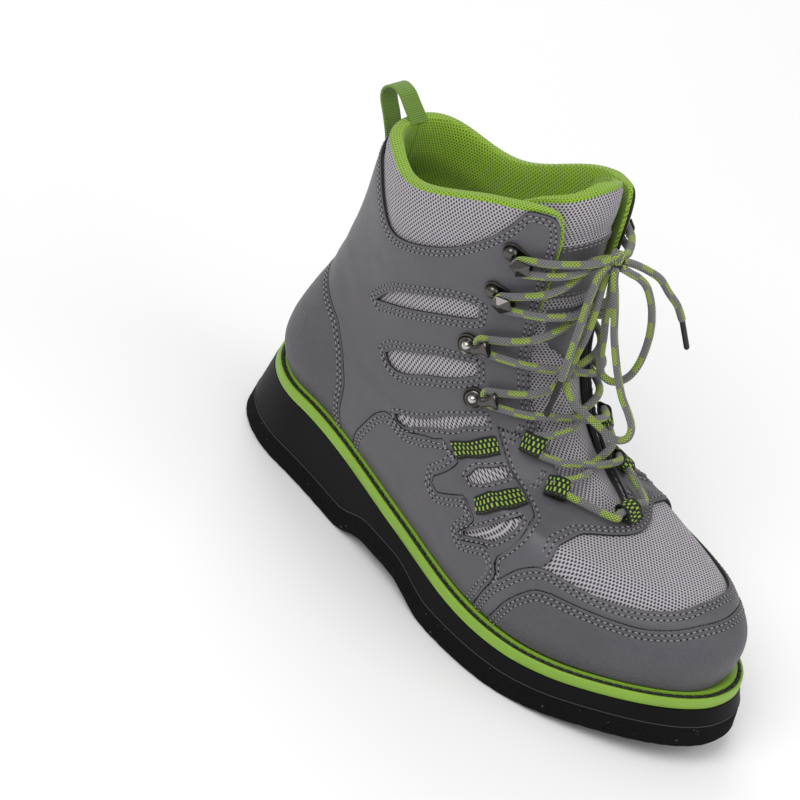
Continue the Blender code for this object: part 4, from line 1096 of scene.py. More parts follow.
@dataclass
class StitchRun:
    """Rows of stitches along a line on the upper."""

    pitch: float = 3.2
    length: float = 2.2
    width: float = .78
    hole: float = .60

    def sample(self, line: np.ndarray, height: float, closed: bool) -> list[np.ndarray]:
        """Frames of the stitches along a line.

        Args:
            line: (a, v) pairs, close together.
            height: height above the last, in millimetres.
            closed: whether the line is a loop.

        Returns:
            Rows X, Y, Z and centre for each stitch, X along the line and Z outward, in millimetres.
        """
        if closed:
            line = np.concatenate([line, line[:1]])
        points = BOOT.off(line, height)
        run = run_along(points)
        count = int(run[-1] / self.pitch)
        if count < 1:
            return []
        spots = (np.arange(count) + .5) * run[-1] / count
        places = at(spots, run, line)
        steps = at(spots + .4, run, points) - at(spots - .4, run, points)
        frames = []
        for centre, along, normal in zip(BOOT.off(places, height), steps, BOOT.normal(places)):
            x = along - normal * (along @ normal)
            x /= np.linalg.norm(x) + 1e-9
            frames.append(np.array([x, np.cross(normal, x), normal, centre]))
        return frames

    def thread(self) -> bmesh.types.BMesh:
        """One stitch's thread."""
        return ball(6, 5, (self.length / 2, self.width / 2, self.width * .55))

    def sew(self, name: str, rows: Iterable[tuple]) -> None:
        """Make the thread, and the needle holes as dark balls of painted shade, of several rows.

        Args:
            name: start of the pieces' names.
            rows: (line, height, closed) for each row.
        """
        frames = [f for row in rows for f in self.sample(*row)]
        scatter(name + "_thread", self.thread(), frames, Look.THREAD)
        # Dark balls at the holes between stitches: painted shade.
        hole = ball(6, 3, (self.hole, self.hole, .16), shift=(self.pitch / 2, 0, -.02))
        scatter(name + "_holes", hole, frames, Look.HOLE)


def ball(around: int, up: int, size: tuple, shift: tuple = (0.0, 0.0, 0.0)) -> bmesh.types.BMesh:
    """A small ball stretched to half sizes in millimetres and moved off its middle."""
    bm = bmesh.new()
    bmesh.ops.create_uvsphere(bm, u_segments=around, v_segments=up, radius=1.0)
    bmesh.ops.scale(bm, vec=size, verts=bm.verts[:])
    bmesh.ops.translate(bm, vec=shift, verts=bm.verts[:])
    return bm


def scatter(name: str, shape: bmesh.types.BMesh, frames: Sequence[np.ndarray],
            look: Look) -> bpy.types.Object:
    """Copies of one small shape joined into a piece.

    Args:
        name: the piece's name.
        shape: the shape in millimetres, freed here.
        frames: rows X, Y, Z and centre for each copy.
        look: the finish.

    Returns:
        The new piece.
    """
    local = np.array([v.co[:] for v in shape.verts])
    shape.verts.index_update()
    faces = [[v.index for v in face.verts] for face in shape.faces]
    shape.free()
    frames = np.array(frames)
    points = np.einsum("nk,fkc->fnc", local, frames[:, :3]) + frames[:, None, 3]
    mesh = bpy.data.meshes.new(name)
    polygons = [[k + n * len(local) for k in face] for n in range(len(frames)) for face in faces]
    mesh.from_pydata(metres(points), [], polygons)
    bm = bmesh.new()
    bm.from_mesh(mesh)
    bpy.data.meshes.remove(mesh)
    return finish_piece(name, bm, [look], smooth_angle=80.0)


@dataclass
class Upper:
    """The padded mesh shell with its lime lining, and the leather pieces over it."""

    collar_pad: float = 8.0
    collar_swell: float = 1.6
    skin_gap: float = 1.0
    seam_gap: float = .5
    lime_edge: float = 1.5
    stitch_lines: tuple = (2.0, 4.4)

    def collar_share(self, u: float, v: float) -> float:
        """How far a place is into the padded collar, 0 to 1."""
        seam = mix(COLLAR_SEAM, u)
        return ease(v, seam - .012, seam + .03)

    def outer(self, a: float, v: float) -> float:
        """Height of the shell's outer face: swollen at the collar and in the mesh windows."""
        u = abs(a)
        return self.collar_swell * self.collar_share(u, v) - 2.5 * self.shoulder(v) * ease(u, .29, .35)

    def inner(self, a: float, v: float) -> float:
        """Height of the lining: the wall, thicker at the padded collar."""
        pad = ease(v, .84, .93) * ease(abs(a), .20, .30)
        return -WALL - (self.collar_pad - WALL) * pad + 2.2 * self.shoulder(v) * pad

    @staticmethod
    def shoulder(v: float) -> float:
        """Share of the rim's rounding at a height, 0 below it to 1 at the edge."""
        return min(max((v - .974) / .026, 0.0), 1.0) ** 2

    def edge_line(self) -> np.ndarray:
        """The open edge on the plus side, from the throat's base up and round to the back."""
        base = Sheet.smooth([(u, v) for u, v in THROAT_BASE[:4]])
        sides = [(edge + .0005, v) for v, edge in THROAT_EDGE[:-1] if v > .6]
        rim = [(mix([(v, e) for v, e in THROAT_EDGE], .955), .955), (.195, .985), (.22, .997), (.25, 1.0)]
        flank = Sheet.smooth([tuple(base[-1])] + sides + rim)
        around = [(u, 1.0) for u in np.linspace(.26, 1.0, 110)]
        return np.concatenate([base[:-1], flank, around])

    def build_shell(self) -> None:
        """Make the mesh shell with its lining, rolled rim and lime edge."""
        edge = self.edge_line()
        left = edge[::-1] * (-1, 1)
        open_edge = np.concatenate([left[:-1], edge])
        up_back = [(1.0, v) for v in np.linspace(1.0, 0.0, 60)[1:-1]]
        foot = [(a, 0.0) for a in np.linspace(1.0, -1.0, 240)]
        up_front = [(-1.0, v) for v in np.linspace(0.0, 1.0, 60)[1:-1]]
        loop = np.concatenate([open_edge, up_back, foot, up_front])
        lime_line = BOOT.beside(open_edge, -self.lime_edge)
        lime_line = lime_line[(np.abs(lime_line[:, 0]) < .995) & (lime_line[:, 1] > .84)]
        halves = [lime_line[lime_line[:, 0] < 0], lime_line[lime_line[:, 0] > 0]]
        sheet = Sheet([loop], lines=halves, edges=[(open_edge, False, -1.0)],
                      rings=(1.0, 2.2, self.lime_edge + 1.2), spacing=2.9)
        outer = np.array([self.outer(a, v) for a, v in sheet.places])
        inner = np.array([self.inner(a, v) for a, v in sheet.places])

        def choose(middle: np.ndarray, away: float) -> int:
            """Lime along the open edge above the throat's bend, mesh elsewhere."""
            return 1 if away < self.lime_edge + .6 and middle[1] > .856 else 0

        def lined(middle: np.ndarray, wall: bool) -> int:
            """Lime lining, and black gusset along the throat below the binding."""
            throat = middle[1] < .856 and abs(middle[0]) < (.5 if wall else .24) and middle[1] > .3
            return 3 if throat else 2

        foam_backed = shell("upper_shell", sheet, inner, outer,
                            [Look.MESH, Look.LINING, Look.LINING, Look.GUSSET], ["upper"], choose,
                            rim=(1.1, lambda a, v: v > .6), lined=lined)

    def leather(self, name: str, outline: Any, look: Look, node: str, side: int = 1,
                holes: Sequence[Any] = (), *, seams: Sequence[tuple]) -> None:
        """Make one leather piece with rolled edges, sunk seams and its stitches.

        Args:
            name: the piece's name.
            outline: its closed outline, already smooth.
            look: its finish.
            node: the CAD node it stands for.
            side: which side of the foot it is on.
            holes: closed holes, already smooth.
            seams: (line, closed, sign, rows) for each stitched edge.
        """
        outline = np.asarray(outline) * (side, 1)
        holes = [np.asarray(hole) * (side, 1) for hole in holes]
        sheet = Sheet([outline, *holes])
        rows = []
        for line, closed, sign, offsets in seams:
            for offset in offsets:
                moved = BOOT.beside(np.asarray(line) * (side, 1), side * sign * offset, closed)
                rows.append((moved, LEATHER_FACE - .10, closed))
        near = np.array(Sheet.distances(Sheet.tree_of([row[0] for row in rows]), sheet.places))
        groove = -.30 * np.clip(1 - (near / 1.35) ** 2, 0, 1)
        rolled = -.55 * np.clip(1 - sheet.away / 1.3, 0, 1) ** 2
        puff = .22 * np.sin(np.clip((sheet.away - 4.5) / 9.0, 0, 1) * math.pi / 2)
        over = LEATHER_FACE + groove + rolled + puff
        under = np.full(len(sheet.places), self.skin_gap - .45)
        shell(name, sheet, under, over, [look, Look.EDGE, Look.EDGE], [node])
        StitchRun().sew(name, rows)

    def quarter_lines(self) -> tuple[np.ndarray, np.ndarray]:
        """The quarter's top edge, and the rest of its outline, on the plus side."""
        heights = [FACING_TOP + .004] + [v for v, _ in THROAT_EDGE if .67 < v < .925] + [.945]
        flank = [(mix(THROAT_EDGE, v) + .005 + .005 * ease(v, .84, .87), v) for v in heights]
        corner = [(.194, .961), (.205, .982), (.227, .992), (.252, .995), (.287, .995), (.303, .985)]
        seam = [(u, v - .014) for u, v in COLLAR_SEAM[1:]]
        top = Sheet.smooth(flank + corner + seam)
        gap = self.seam_gap
        counter = BOOT.beside(Sheet.smooth(COUNTER_EDGE), gap)[::-1]
        counter = np.concatenate([[(.9985, counter[0][1])], counter[1:-1], [(counter[-1][0], FOOT)]])
        panel = BOOT.beside(Sheet.smooth(PANEL_FRONT + PANEL_BACK[1:]), gap)[::-1]
        panel = np.concatenate([[(panel[0][0], FOOT)], panel[1:]])
        panel = panel[panel[:, 0] > .408]
        facing = BOOT.beside(Sheet.smooth(FACING_BACK[2:]), -gap)
        facing = np.concatenate([facing[:-1], [(facing[-1][0], FACING_TOP + .004)]])
        top[-1][0] = .9985
        return top, np.concatenate([counter, panel, facing])

    def build_leather(self) -> None:
        """Make every leather piece of both sides."""
        rows = self.stitch_lines
        cap = Sheet.smooth(both_sides(CAP_TOP))
        foot = np.linspace(.385, -.385, 120)[1:-1]
        cap_loop = np.concatenate([cap, [(a, FOOT) for a in foot]])
        self.leather("toe_cap_leather", cap_loop, Look.TOE_LEATHER, "toe_cap",
                     seams=[(cap, False, -1, rows)])
        band = Sheet.smooth(both_sides(BAND_TOP))
        lower = BOOT.beside(cap, self.seam_gap)[::-1]
        lower = np.concatenate([[(lower[0][0], FOOT)], lower[1:-1], [(lower[-1][0], FOOT)]])
        self.leather("toe_band_leather", np.concatenate([band, lower]), Look.LEATHER, "toe_band",
                     seams=[(band, False, -1, rows)])
        counter = COUNTER_EDGE + tuple((2 - a, v) for a, v in reversed(COUNTER_EDGE[:-1]))
        counter = Sheet.smooth(counter)
        foot = [(a, FOOT) for a in np.linspace(1.321, .679, 90)[1:-1]]
        self.leather("counter_leather", np.concatenate([counter, foot]), Look.TOE_LEATHER, "heel_counter",
                     seams=[(counter, False, -1, rows)])
        self.build_facing()
        panel = Sheet.smooth(PANEL_FRONT + PANEL_BACK[1:])
        foot = [(a, FOOT) for a in np.linspace(.654, .410, 50)[1:-1]]
        top, rest = self.quarter_lines()
        windows = [Sheet.smooth(window, True) for window in WINDOWS.values()]
        for side, word in SIDES:
            self.leather("side_panel_leather_" + word, np.concatenate([panel, foot]), Look.LEATHER,
                         "side_panel_" + word, side, seams=[(panel, False, -1, rows)])
            seams = [(window, True, self.outward(window), (1.8, 4.0) if k < 2 else (1.7,))
                     for k, window in enumerate(windows)]
            self.leather("quarter_leather_" + word, np.concatenate([top, rest]), Look.LEATHER,
                         "quarter_" + word, side, windows, seams=seams + [(top, False, -1, rows)])

    @staticmethod
    def outward(loop: np.ndarray) -> int:
        """Sign that moves a loop on the plus side outward."""
        after = np.roll(loop, -1, axis=0)
        return -1 if np.sum(loop[:, 0] * after[:, 1] - after[:, 0] * loop[:, 1]) > 0 else 1

    def build_facing(self) -> None:
        """Make the saddle across the vamp below the throat."""
        window = Sheet.smooth(both_sides(VAMP_WINDOW_TOP))
        back = Sheet.smooth(FACING_BACK)
        band = BOOT.beside(Sheet.smooth(both_sides(BAND_TOP)), self.seam_gap)
        tail = band[(band[:, 0] > .335) & (band[:, 1] > .150)]
        throat = [(mix(THROAT_EDGE, FACING_TOP) + .004, FACING_TOP), (mix(THROAT_EDGE, .60) + .005, .60)]
        base = Sheet.smooth([(u, v - .006) for u, v in reversed(THROAT_BASE[:3])])
        half = np.concatenate([tail, back, throat, base])
        outline = np.concatenate([window, half[:-1], half[::-1] * (-1, 1)])
        lines = [(window, False, 1, self.stitch_lines), (back, False, 1, (2.0,)),
                 (back * (-1, 1), False, -1, (2.0,)),
                 (np.concatenate([base, (base[::-1] * (-1, 1))[1:]]), False, 1, (2.0, 4.4))]
        self.leather("facing_leather", outline, Look.LEATHER, "facing", seams=lines)

    def build(self) -> None:
        """Make the whole upper."""
        self.build_shell()
        self.build_leather()


def seat(here: Place, ahead: Place, lift: float) -> np.ndarray:
    """Frame on the upper: rows X towards a second place, Y, Z outward, and the origin, in millimetres."""
    normal = BOOT.normal(here)[0]
    point = BOOT.off(here, 0.0)[0]
    along = BOOT.off(ahead, 0.0)[0] - point
    along = unit(along - normal * (along @ normal))
    return np.array([along, np.cross(normal, along), normal, point + normal * lift])


def place_verts(bm: bmesh.types.BMesh, frame_rows: np.ndarray) -> None:
    """Move a shape in millimetres from its own frame to the part's frame in metres."""
    for vert in bm.verts:
        vert.co = metres(np.array(vert.co) @ frame_rows[:3] + frame_rows[3])[0]


def sweep(bm: bmesh.types.BMesh, rings: Iterable[np.ndarray], closed: bool,
          mapped: Optional[Callable] = None) -> list[list[bmesh.types.BMVert]]:
    """Faces from each ring of points to the next, all the way round.

    Args:
        bm: the mesh to add them to.
        rings: the rings in millimetres, all with the same number of points.
        closed: whether the last ring is joined to the first.
        mapped: gives a corner's place on the Flat map from the numbers of its ring and its point.

    Returns:
        The new vertices, ring by ring.
    """
    flat = bm.loops.layers.uv.new("Flat") if mapped else None
    loops = [[bm.verts.new(p) for p in metres(ring)] for ring in rings]
    for k in range(len(loops) if closed else len(loops) - 1):
        low = loops[k]
        high = loops[(k + 1) % len(loops)]
        for i in range(len(low)):
            j = (i + 1) % len(low)
            face = bm.faces.new((low[i], low[j], high[j], high[i]))
            if mapped:
                for loop, corner in zip(face.loops, ((k, i), (k, i + 1), (k + 1, i + 1), (k + 1, i))):
                    loop[flat].uv = mapped(*corner)
    return loops


def loft(rings: Sequence[np.ndarray], hollow: bool = False) -> bmesh.types.BMesh:
    """Solid through a run of rings in millimetres: closed across its ends, or a hollow band."""
    bm = bmesh.new()
    loops = sweep(bm, rings, hollow)
    if not hollow:
        for ring in (loops[0], loops[-1]):
            for k in range(len(ring) // 2):
                corners = [ring[k], ring[k + 1], ring[-(k + 1)], ring[-k] if k else ring[0]]
                bm.faces.new([v for n, v in enumerate(corners) if v not in corners[:n]])
    bmesh.ops.recalc_face_normals(bm, faces=bm.faces[:])
    return bm


@dataclass
class Sole:
    """Felt, midsole, welt with its lock stitch, and insole."""

    count: int = 260
    edge: float = 6.7
    seat_in: float = 5.0
    heel_flare: float = 8.6
    toe_flare: float = 4.2
    side_flare: float = 1.2
    big_toe: float = 5.0
    insole: float = 4.0
    stitch_pitch: float = 5.1
    stitch_skew: float = .16

    def ring(self, offset: float, level: Callable, lift: float, flare: float = 0.0) -> np.ndarray:
        """Ring round the boot at an offset from the upper and a lift over a level of the sole."""
        a = -1 + 2 * np.arange(self.count) / self.count
        points = BOOT.off(np.stack([a, a * 0], axis=1), 0.0)
        along = np.roll(points, -1, axis=0) - np.roll(points, 1, axis=0)
        ring = []
        for point, step in zip(points, along):
            out = np.array([step[1], -step[0], 0.0])
            out /= np.linalg.norm(out)
            toward = max(out[0] + out[1], 0.0) ** 2 / 2 * ease(point[0] / BOOT.length, .62, .90)
            moved = point + out * (offset + flare * self.side_flare
                                   + self.big_toe * toward * ease(offset, 0.0, self.edge / 2))
            moved[0] -= flare * self.heel_flare * (1 - ease(moved[0] / BOOT.length, 0.0, .15))
            moved[0] += flare * self.toe_flare * ease(moved[0] / BOOT.length, .84, 1.0)
            moved[2] = level(moved[0]) + lift
            ring.append(moved)
        return np.array(ring)

    def rings(self, level: Callable, profile: Sequence[tuple]) -> list[np.ndarray]:
        """Rings for a profile of (offset from the edge, lift over the level, flare)."""
        return [self.ring(self.edge + offset, level, lift, flare) for offset, lift, flare in profile]

    def build_felt(self) -> None:
        """Make the felt with a slightly ragged edge, and the glue line above it."""
        sides = [(.15 * math.sin(share * math.pi), BOOT.felt * share, 1.0 - .25 * share)
                 for share in (.25, .5, .75)]
        rings = self.rings(BOOT.sole_bottom, [(-1.6, 0.0, 1.0), (-.5, .45, 1.0), (0.0, 1.4, 1.0), *sides])
        rings += self.rings(BOOT.felt_top, [(0.0, -.15, .75)])
        phase = np.arange(self.count)
        for k, ring in enumerate(rings[1:], 1):
            ring[:, 2] += .12 * np.sin(phase * 1.7 + k) * (k < len(rings) - 1)
            ring[:, 1] += .10 * np.sin(phase * 2.3 + k * 1.3)
        finish_piece("felt_sole", loft(rings), [Look.FELT], ["outsole_felt"], 60)
        corners = ((-1.5, -.1), (.12, -.1), (.12, .38), (-1.5, .38))
        glue = self.rings(BOOT.felt_top, [(offset, lift, .75) for offset, lift in corners])
        finish_piece("glue_line", loft(glue, True), [Look.GLUE], smooth_angle=30)

    def build_midsole(self) -> None:
        """Make the moulded midsole between the felt and the welt."""
        top = -BOOT.welt - BOOT.gap
        inside = -self.seat_in - BOOT.gap
        low = self.ring(self.edge - .1, BOOT.felt_top, BOOT.gap, .75)
        high = self.ring(self.edge - .5, BOOT.sole_top, top, .2)
        rings = [low + (high - low) * share for share in (0.0, .06, .3, .6, .92, 1.0)]
        rings += [self.ring(inside, BOOT.sole_top, lift) for lift in (top, 0.0)]
        finish_piece("midsole_block", loft(rings), [Look.RUBBER], ["midsole"], 50)

    def build_welt(self) -> None:
        """Make the lime welt with its groove and rib, and the lock stitch in the groove."""
        welt = BOOT.welt
        inside = -self.seat_in - self.edge
        groove = ((-.6, -.95), (-1.1, -.9), (-1.45, -1.1), (-1.75, -1.8), (-3.3, -1.8), (-3.55, -.9))
        rib = ((-3.7, .45), (-4.3, .78), (-5.1, .6), (-5.8, 0.0), (inside, 0.0))
        profile = [(inside, -welt, 0.0), (-.9, -welt, .15), (-.35, -welt + .35, .12),
                   (-.05, -welt * .62, .06), (0.0, -welt * .34, 0.0), (-.15, -welt * .20, 0.0)]
        profile += [(offset, lift, 0.0) for offset, lift in groove + rib]
        rings = self.rings(BOOT.sole_top, profile)
        finish_piece("welt_strip", loft(rings, True), [Look.WELT], ["welt"], 50)
        line = self.ring(self.edge - 2.5, BOOT.sole_top, -1.05)
        line = np.concatenate([line, line[:1]])
        run = run_along(line)
        count = int(run[-1] / self.stitch_pitch)
        spots = (np.arange(count) + .5) * run[-1] / count
        frames = []
        for here, ahead in zip(at(spots, run, line), at(spots + .5, run, line)):
            x = unit(ahead - here)
            x = x * math.cos(self.stitch_skew) + unit(np.cross((0, 0, 1), x)) * math.sin(self.stitch_skew)
            y = np.cross((0, 0, 1), x)
            frames.append(np.array([x, y, np.cross(x, y), here]))
        scatter("welt_stitch", ball(10, 8, (self.stitch_pitch * .55, .95, .85)), frames, Look.STITCH)
        # Dark dimples beside the lock stitch: painted shade in its holes.
        dimple = ball(8, 4, (.75, .95, .30), shift=(self.stitch_pitch / 2, 0, .2))
        scatter("welt_stitch_holes", dimple, frames, Look.HOLE)

    def build_insole(self) -> None:
        """Make the cloth-covered insole, softly cupped at its edge."""
        inside = -WALL - BOOT.gap - .6
        profile = ((0.0, BOOT.gap), (0.0, self.insole), (-1.2, self.insole + BOOT.gap),
                   (-6.0, self.insole - .5))
        bm = loft([self.ring(inside + offset, BOOT.sole_top, lift) for offset, lift in profile])
        flat = bm.loops.layers.uv.new("Flat")
        for face in bm.faces:
            for loop in face.loops:
                loop[flat].uv = loop.vert.co.xy
        finish_piece("insole_board", bm, [Look.BOARD], ["insole"])

    def build(self) -> None:
        """Make the whole sole."""
        self.build_felt()
        self.build_midsole()
        self.build_welt()
        self.build_insole()


@dataclass
class Tongue:
    """Padded tongue with its leather panels, black gusset edges and lime back."""

    columns: int = 44
    rows: int = 96
    bottom: float = .50
    top: float = 1.012
    thick: float = 5.0
    edge_thick: float = 2.0
    recess: float = 5.0
    lean: float = 3.0

    def sunk(self, a: float, v: float) -> float:
        """How far the tongue lies back behind the line of the throat's edges."""
        depth = self.recess * ease(v, .56, .70) + self.lean * ease(v, .80, .92)
        return depth * max(1 - (a / .24) ** 2, 0.0)

    def spot(self, s: float, v: float) -> tuple[float, float, float]:
        """Place and front height at share s across and height v.

        Args:
            s: -1 at one edge to 1 at the other.
            v: height on the upper.

        Returns:
            a, v and the height of the front face.
        """
        a = s * (.285 + .075 * ease(v, .80, .95))
        share = (v - self.bottom) / (self.top - self.bottom)
        face = -WALL - .6 - 5.6 * ease(v, .82, .93) * ease(abs(a), .17, .27) - self.sunk(a, v)
        return a, v - .03 * abs(s) ** 3 * share, face

    def zone(self, s: float, v: float) -> int:
        """Finish index of the front: 0 mesh, 1 leather, 2 gusset or 3 lining."""
        if abs(s) > .84 and v < .90:
            return 2
        if v > 1.006:
            return 3
        lower = .775 + .035 * (s / .62) ** 2
        upper_panel = .868 < v < .945 and abs(s) < .74
        lower_panel = lower < v < .852 and abs(s) < .60
        return int(upper_panel or lower_panel)

    def relief(self, s: float, v: float) -> float:
        """Height of padding, panels and seams over the plain front."""
        height = .9 if self.zone(s, v) == 1 else 0.0
        height += 1.1 * math.sin(math.pi * min(max((v - .945) / .06, 0), 1)) * (1 - s * s)
        height += .8 * math.sin(math.pi * min(max((v - .56) / .21, 0), 1)) * max(1 - (s / .8) ** 2, 0)
        height -= .8 * math.exp(-((v - .860) / .005) ** 2)
        return height

    def build(self) -> None:
        """Make the tongue and its stitches."""
        self.build_pad()
        self.build_stitches()

    def build_pad(self) -> None:
        """Make the padded body: a front and a back net, closed round their border."""
        bm = bmesh.new()
        flat = bm.loops.layers.uv.new("Flat")
        shares = [-1 + 2 * i / self.columns for i in range(self.columns + 1)]
        heights = [self.bottom + (self.top - self.bottom) * j / self.rows for j in range(self.rows + 1)]
        places = []
        lifts = []
        wide = self.columns + 1
        for v in heights:
            for s in shares:
                a, v_here, face = self.spot(s, v)
                body = self.edge_thick + (self.thick - self.edge_thick) * (1 - s * s)
                swell = 3 * ease(v, .90, .98) * (1 - s * s)
                round_off = 1.3 * ease(v, 1.0, 1.012) + .5 * ease(abs(s), .92, 1.0)
                places.append((a, v_here))
                lifts.append((face + self.relief(s, v) - round_off, face - body - swell + round_off * .6))
        nets = [metres(BOOT.off(places, lift)) for lift in zip(*lifts)]
        front, back = [[bm.verts.new(p) for p in net] for net in nets]
        grid = nets[0].reshape(self.rows + 1, wide, 3)
        steps = np.linalg.norm(np.diff(grid, axis=1), axis=2)
        across = np.concatenate([np.zeros((self.rows + 1, 1)), np.cumsum(steps, axis=1)], axis=1)
        across -= across[:, self.columns // 2:self.columns // 2 + 1]
        rise = run_along(grid[:, self.columns // 2])
        for j in range(self.rows):
            for i in range(self.columns):
                corners = (j * wide + i, j * wide + i + 1, (j + 1) * wide + i + 1, (j + 1) * wide + i)
                zone = self.zone((shares[i] + shares[i + 1]) / 2, (heights[j] + heights[j + 1]) / 2)
                for net, index in ((front, zone), (back, 3)):
                    face = bm.faces.new([net[k] for k in corners])
                    face.material_index = index
                    for loop, k in zip(face.loops, corners):
                        loop[flat].uv = (across[k // wide, k % wide], rise[k // wide])
        border = list(range(self.columns)) + [j * wide + self.columns for j in range(self.rows)]
        border += [self.rows * wide + self.columns - i for i in range(self.columns)]
        border += [(self.rows - j) * wide for j in range(self.rows)]
        for k, n in zip(border, border[1:] + border[:1]):
            face = bm.faces.new((back[k], back[n], front[n], front[k]))
            face.material_index = 3
            for loop in face.loops:
                loop[flat].uv = (loop.vert.co.y, loop.vert.co.x + loop.vert.co.z)
        bmesh.ops.recalc_face_normals(bm, faces=bm.faces[:])
        looks = [Look.MESH, Look.LEATHER, Look.GUSSET, Look.LINING]
        pad = finish_piece("tongue_pad", bm, looks, ["tongue"])

    def build_stitches(self) -> None:
        """Make the rows of stitches along the leather panels' edges."""
        stitch = StitchRun()
        frames = []
        for v, reach in ((.872, .70), (.941, .70), (.936, .70), (.847, .56)):
            spots = np.array([self.spot(s, v) for s in np.linspace(-reach, reach, 50)])
            line = spots[:, :2]
            points = BOOT.off(line, spots[:, 2] + 1.05)
            run = run_along(points)
            spots = (np.arange(int(run[-1] / stitch.pitch)) + .5) * stitch.pitch
            normals = BOOT.normal(at(spots, run, line))
            for here, ahead, normal in zip(at(spots, run, points), at(spots + .5, run, points), normals):
                x = unit(ahead - here)
                y = np.cross(normal, x)
                frames.append(np.array([x, y, np.cross(x, y), here]))
        scatter("tongue_thread", stitch.thread(), frames, Look.THREAD)


def curved(points: Any, pieces: int) -> list[np.ndarray]:
    """Points on a smooth curve through a route, so many to each of its stretches."""
    route = [np.asarray(p, float) for p in points]
    route = [2 * route[0] - route[1], *route, 2 * route[-1] - route[-2]]
    fine = [curve_through(*route[k - 1:k + 3], n / pieces)
            for k in range(1, len(route) - 2) for n in range(pieces)]
    return fine + [route[-2]]


def strip(name: str, centre: np.ndarray, across: np.ndarray, thick: float, look: Look,
          replaces: Sequence[str] = (), closed: bool = False) -> bpy.types.Object:
    """Flat webbing along a line, with its own thickness.

    Args:
        name: the piece's name.
        centre: points of its middle line in millimetres.
        across: half-width vector at each point.
        thick: thickness in millimetres, grown to the outer side.
        look: its finish.
        replaces: CAD nodes it stands for.
        closed: whether it is a ring.

    Returns:
        The new piece.
    """
    lengths = run_along(np.concatenate([centre, centre[:1]])) * MM
    step = np.gradient(centre, axis=0)
    if closed:
        step = np.roll(centre, -1, axis=0) - np.roll(centre, 1, axis=0)
    normal = unit(np.cross(step, across))
    shares = (-.95, -.7, -.35, 0.0, .35, .7, .95)
    section = [(-1.0, thick * .5), *((x, thick) for x in shares), (1.0, thick * .5)]
    section += [(x, 0.0) for x in reversed(shares)]
    rings = [[centre[k] + across[k] * x + normal[k] * z for x, z in section] for k in range(len(centre))]
    bm = bmesh.new()
    loops = sweep(bm, rings, closed, lambda k, i: (lengths[k], section[i % len(section)][0] / 2 + .5))
    if not closed:
        bm.faces.new(loops[0])
        bm.faces.new(loops[-1])
    bmesh.ops.recalc_face_normals(bm, faces=bm.faces[:])
    return finish_piece(name, bm, [look], replaces)


